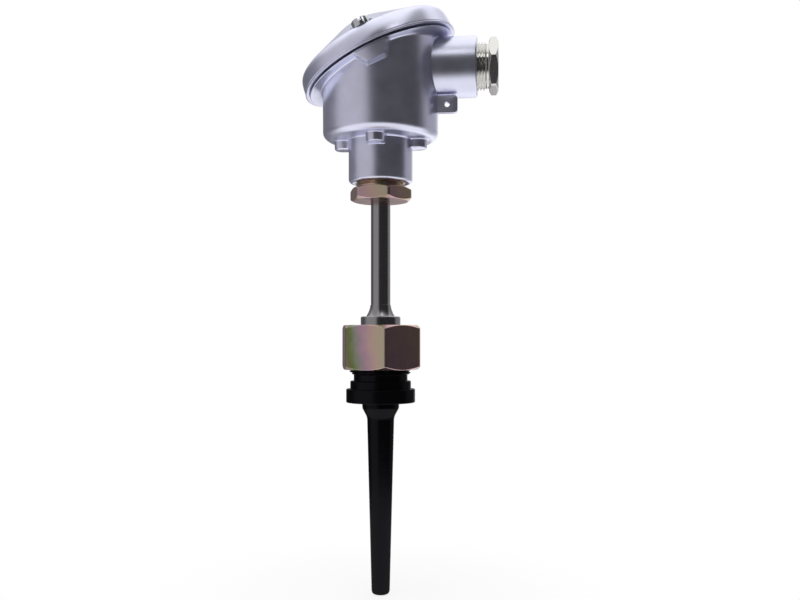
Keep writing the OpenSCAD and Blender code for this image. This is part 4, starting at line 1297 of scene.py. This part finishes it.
class BuildSprings(bpy.types.Operator):
    """Springs that press the measuring insert down"""
    bl_idname = "rtd.build_springs"
    bl_label = "Springs"

    def execute(self, context):
        wire = 0.8
        for node in ("spring_left", "spring_right"):
            spring = grid_mesh("finished_" + node, spring_shape(node, wire))
            settle(spring, "thermometer", node, "spring_steel")
            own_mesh(spring)
        return {"FINISHED"}


class FinishInside(bpy.types.Operator):
    """Materials of the parts that keep their CAD shape"""
    bl_idname = "rtd.finish_inside"
    bl_label = "Other parts"

    def execute(self, context):
        slots = {part["node"]: part["material_slot"] for part in frame["record"]["subparts"]}
        for name, obj in frame["nodes"].items():
            if not obj.hide_render:
                dress(obj, slots[name])
        return {"FINISHED"}


class BuildStage(bpy.types.Operator):
    """Pale floor, studio surroundings, soft lamps and the camera"""
    bl_idname = "rtd.build_stage"
    bl_label = "Stage"

    def execute(self, context):
        context.scene.view_settings.view_transform = "Standard"
        build_floor()
        build_world(context.scene)
        for lamp in LAMPS:
            place_lamp(*lamp)
        place_camera(context.scene)
        return {"FINISHED"}


# ---------------------------------------------------------------- stage

# Walls of the studio that polished metal reflects, each over the ones before it, in
# degrees seen from the object: left and right edge (0 is the front, 90 the right), lower
# and upper edge, how softly the upright and the level edges fade, and the tone.
STUDIO_TONE = (1.15, 1.15, 1.15)
STUDIO_WALLS = (
    (-200, 160, -36, 38, 9, 12, (0.40, 0.39, 0.42)),     # all round but for a strip behind
    (-168, -90, -36, 20, 11, 9, (0.15, 0.15, 0.17)),     # behind to the left
    (-86, -18, -46, 66, 12, 22, (0.52, 0.51, 0.53)),     # in front to the left
    (-15, 103, -47, 60, 8, 18, (0.040, 0.038, 0.042)),   # in front and to the right
)

# Name, place and width in metres, power in watts, and the point that the lamp is aimed at
# if it isn't the whole object.
LAMPS = (
    ("Key lamp", (-0.1, -0.1, 1.1), 0.6, 3.0),
    ("Back lamp", (0.1, 0.6, 0.9), 0.6, 2.0),
    ("Barrel lamp", (0.057, -0.122, 0.268), 0.05, 0.011, (0.048, -0.014, 0.15)),
)


def shader_tree(owner):
    """Empty node tree of a new material or world."""
    owner.use_nodes = True
    owner.node_tree.nodes.clear()
    return owner.node_tree


def mix_shaders(tree, amount, first, second):
    """First shader where amount is 0, second where it is 1."""
    return add_node(tree, "ShaderNodeMixShader", {0: amount, 1: first, 2: second}).outputs[0]


def build_floor():
    """Round floor under the tip: white as seen, plain for the light, so shadows stay.

    Near the middle a fifth of what is seen is its lit surface, and further out none.
    """
    radius, gap, fade_from, fade_to, lit = 0.18, 0.0001, 0.07, 0.16, 0.2
    a = circle(96)
    ring = np.stack([radius * np.cos(a), radius * np.sin(a),
                     0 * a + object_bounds()[0][2] - gap], -1)
    mesh = bpy.data.meshes.new("Floor")
    mesh.from_pydata(ring.tolist(), [], [list(range(len(a)))])
    made = bpy.data.materials.new("Floor")
    tree = shader_tree(made)
    rays = add_node(tree, "ShaderNodeLightPath").outputs
    mirrored = math_node(tree, "ADD", rays["Is Glossy Ray"], rays["Is Transmission Ray"])
    seen = math_node(tree, "ADD", rays["Is Camera Ray"], mirrored, clamp=True)
    place = add_node(tree, "ShaderNodeTexCoord").outputs["Object"]
    away = add_node(tree, "ShaderNodeVectorMath", {0: place}, operation="LENGTH").outputs["Value"]
    white = math_node(tree, "MULTIPLY_ADD", fade(tree, away, fade_from, fade_to), lit, 1 - lit)
    matt = add_node(tree, "ShaderNodeBsdfDiffuse", {"Color": (0.9, 0.9, 0.9, 1)})
    glow = add_node(tree, "ShaderNodeEmission", {"Color": (1, 1, 1, 1), "Strength": 1.0})
    surface = mix_shaders(tree, math_node(tree, "MULTIPLY", seen, white), matt.outputs[0],
                          glow.outputs[0])
    add_node(tree, "ShaderNodeOutputMaterial", {"Surface": surface})
    mesh.materials.append(made)
    floor = new_object("Floor", mesh)
    floor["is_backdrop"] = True


def wall_mask(tree, side, rise, left, right, low, high, soft, soft_level):
    """1 inside a window given in degrees, fading over soft and soft_level degrees."""
    edges = ((side, left, soft), (side, right, -soft), (rise, low, soft_level),
             (rise, high, -soft_level))
    mask = 1.0
    for value, at, width in edges:
        edge = fade(tree, value, math.radians(at - width), math.radians(at + width))
        mask = math_node(tree, "MULTIPLY", mask, edge)
    return mask


def build_world(scene):
    """White to the eye; polished metal sees the studio's walls, the rest a soft light.

    Seen along (x, y, z), side is the angle of (x, -y) from the front and rise asin z.
    """
    world = bpy.data.worlds.new("Studio")
    scene.world = world
    tree = shader_tree(world)
    way = add_node(tree, "ShaderNodeTexCoord").outputs["Generated"]
    parts = add_node(tree, "ShaderNodeSeparateXYZ", {"Vector": way}).outputs
    side = math_node(tree, "ARCTAN2", parts["X"], math_node(tree, "MULTIPLY", parts["Y"], -1.0))
    rise = math_node(tree, "ARCSINE", parts["Z"])
    tone = (*STUDIO_TONE, 1)
    for *edges, wall_tone in STUDIO_WALLS:
        mask = wall_mask(tree, side, rise, *edges)
        tone = add_node(tree, "ShaderNodeMix", {"Factor": mask, "A": tone,
                        "B": (*wall_tone, 1)}, data_type="RGBA").outputs["Result"]
    rays = add_node(tree, "ShaderNodeLightPath").outputs
    seen = math_node(tree, "ADD", rays["Is Camera Ray"], rays["Is Transmission Ray"], clamp=True)
    white, soft, room = (
        add_node(tree, "ShaderNodeBackground", {"Color": shade, "Strength": strength}).outputs[0]
        for shade, strength in (((1, 1, 1, 1), 1.0), ((1, 1, 1, 1), 0.6), (tone, 1.0)))
    lit = mix_shaders(tree, rays["Is Glossy Ray"], soft, room)
    add_node(tree, "ShaderNodeOutputWorld", {"Surface": mix_shaders(tree, seen, lit, white)})


def place_lamp(name, place, size, power, aim=None):
    """Square soft lamp that looks at a point; with none given it lights the whole object.

    Only a lamp with its own aim shows in polished metal.
    """
    data = bpy.data.lights.new(name, "AREA")
    data.energy, data.size = power, size
    lamp = new_object(name, data)
    lamp.location = place
    lamp.visible_glossy = aim is not None
    lamp.visible_camera = False
    low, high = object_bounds()
    look = ((low + high) / 2 if aim is None else Vector(aim)) - lamp.location
    lamp.rotation_euler = look.to_track_quat("-Z", "Y").to_euler()


def place_camera(scene):
    """Camera in front of the object, a little to the right and almost level."""
    data = bpy.data.cameras.new("Camera")
    data.sensor_width, data.lens, data.shift_y = 36.0, 40.638, 0.0375
    camera = new_object("Camera", data)
    camera.location = (0.060765, -0.434979, 0.032168)
    camera.rotation_euler = (math.radians(90.377), 0, math.radians(6.727))
    scene.camera = camera


# ---------------------------------------------------------------- add-on

STEPS = (BuildWell, BuildUnion, BuildAdapter, BuildHead, BuildGland, BuildLid,
         BuildLidScrews, BuildSprings, FinishInside, BuildStage)
GROUPS = {"rtd_well": WellSizes, "rtd_head": HeadSizes, "rtd_lid": LidSizes,
          "rtd_colours": Colours}


class ThermometerPanel(bpy.types.Panel):
    """Lists the thermometer's pieces and sizes in the sidebar"""
    bl_idname = "VIEW3D_PT_rtd"
    bl_label = "Thermometer"
    bl_space_type = "VIEW_3D"
    bl_region_type = "UI"
    bl_category = "Thermometer"

    def draw(self, context):
        for step in STEPS:
            self.layout.operator(step.bl_idname)
        for name, group in GROUPS.items():
            for prop in group.__annotations__:
                self.layout.prop(getattr(context.scene, name), prop)


CLASSES = (*GROUPS.values(), *STEPS, ThermometerPanel)


def register():
    """Adds the classes, and the sizes and colours as properties of the scene."""
    for cls in CLASSES:
        bpy.utils.register_class(cls)
    for name, group in GROUPS.items():
        setattr(bpy.types.Scene, name, bpy.props.PointerProperty(type=group))


def unregister():
    """Takes away what register adds."""
    for name in GROUPS:
        delattr(bpy.types.Scene, name)
    for cls in reversed(CLASSES):
        bpy.utils.unregister_class(cls)


def main():
    """Builds every piece and the stage."""
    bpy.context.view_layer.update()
    register()
    for step in STEPS:
        area, name = step.bl_idname.split(".")
        getattr(getattr(bpy.ops, area), name)()


if __name__ == "__main__":
    main()
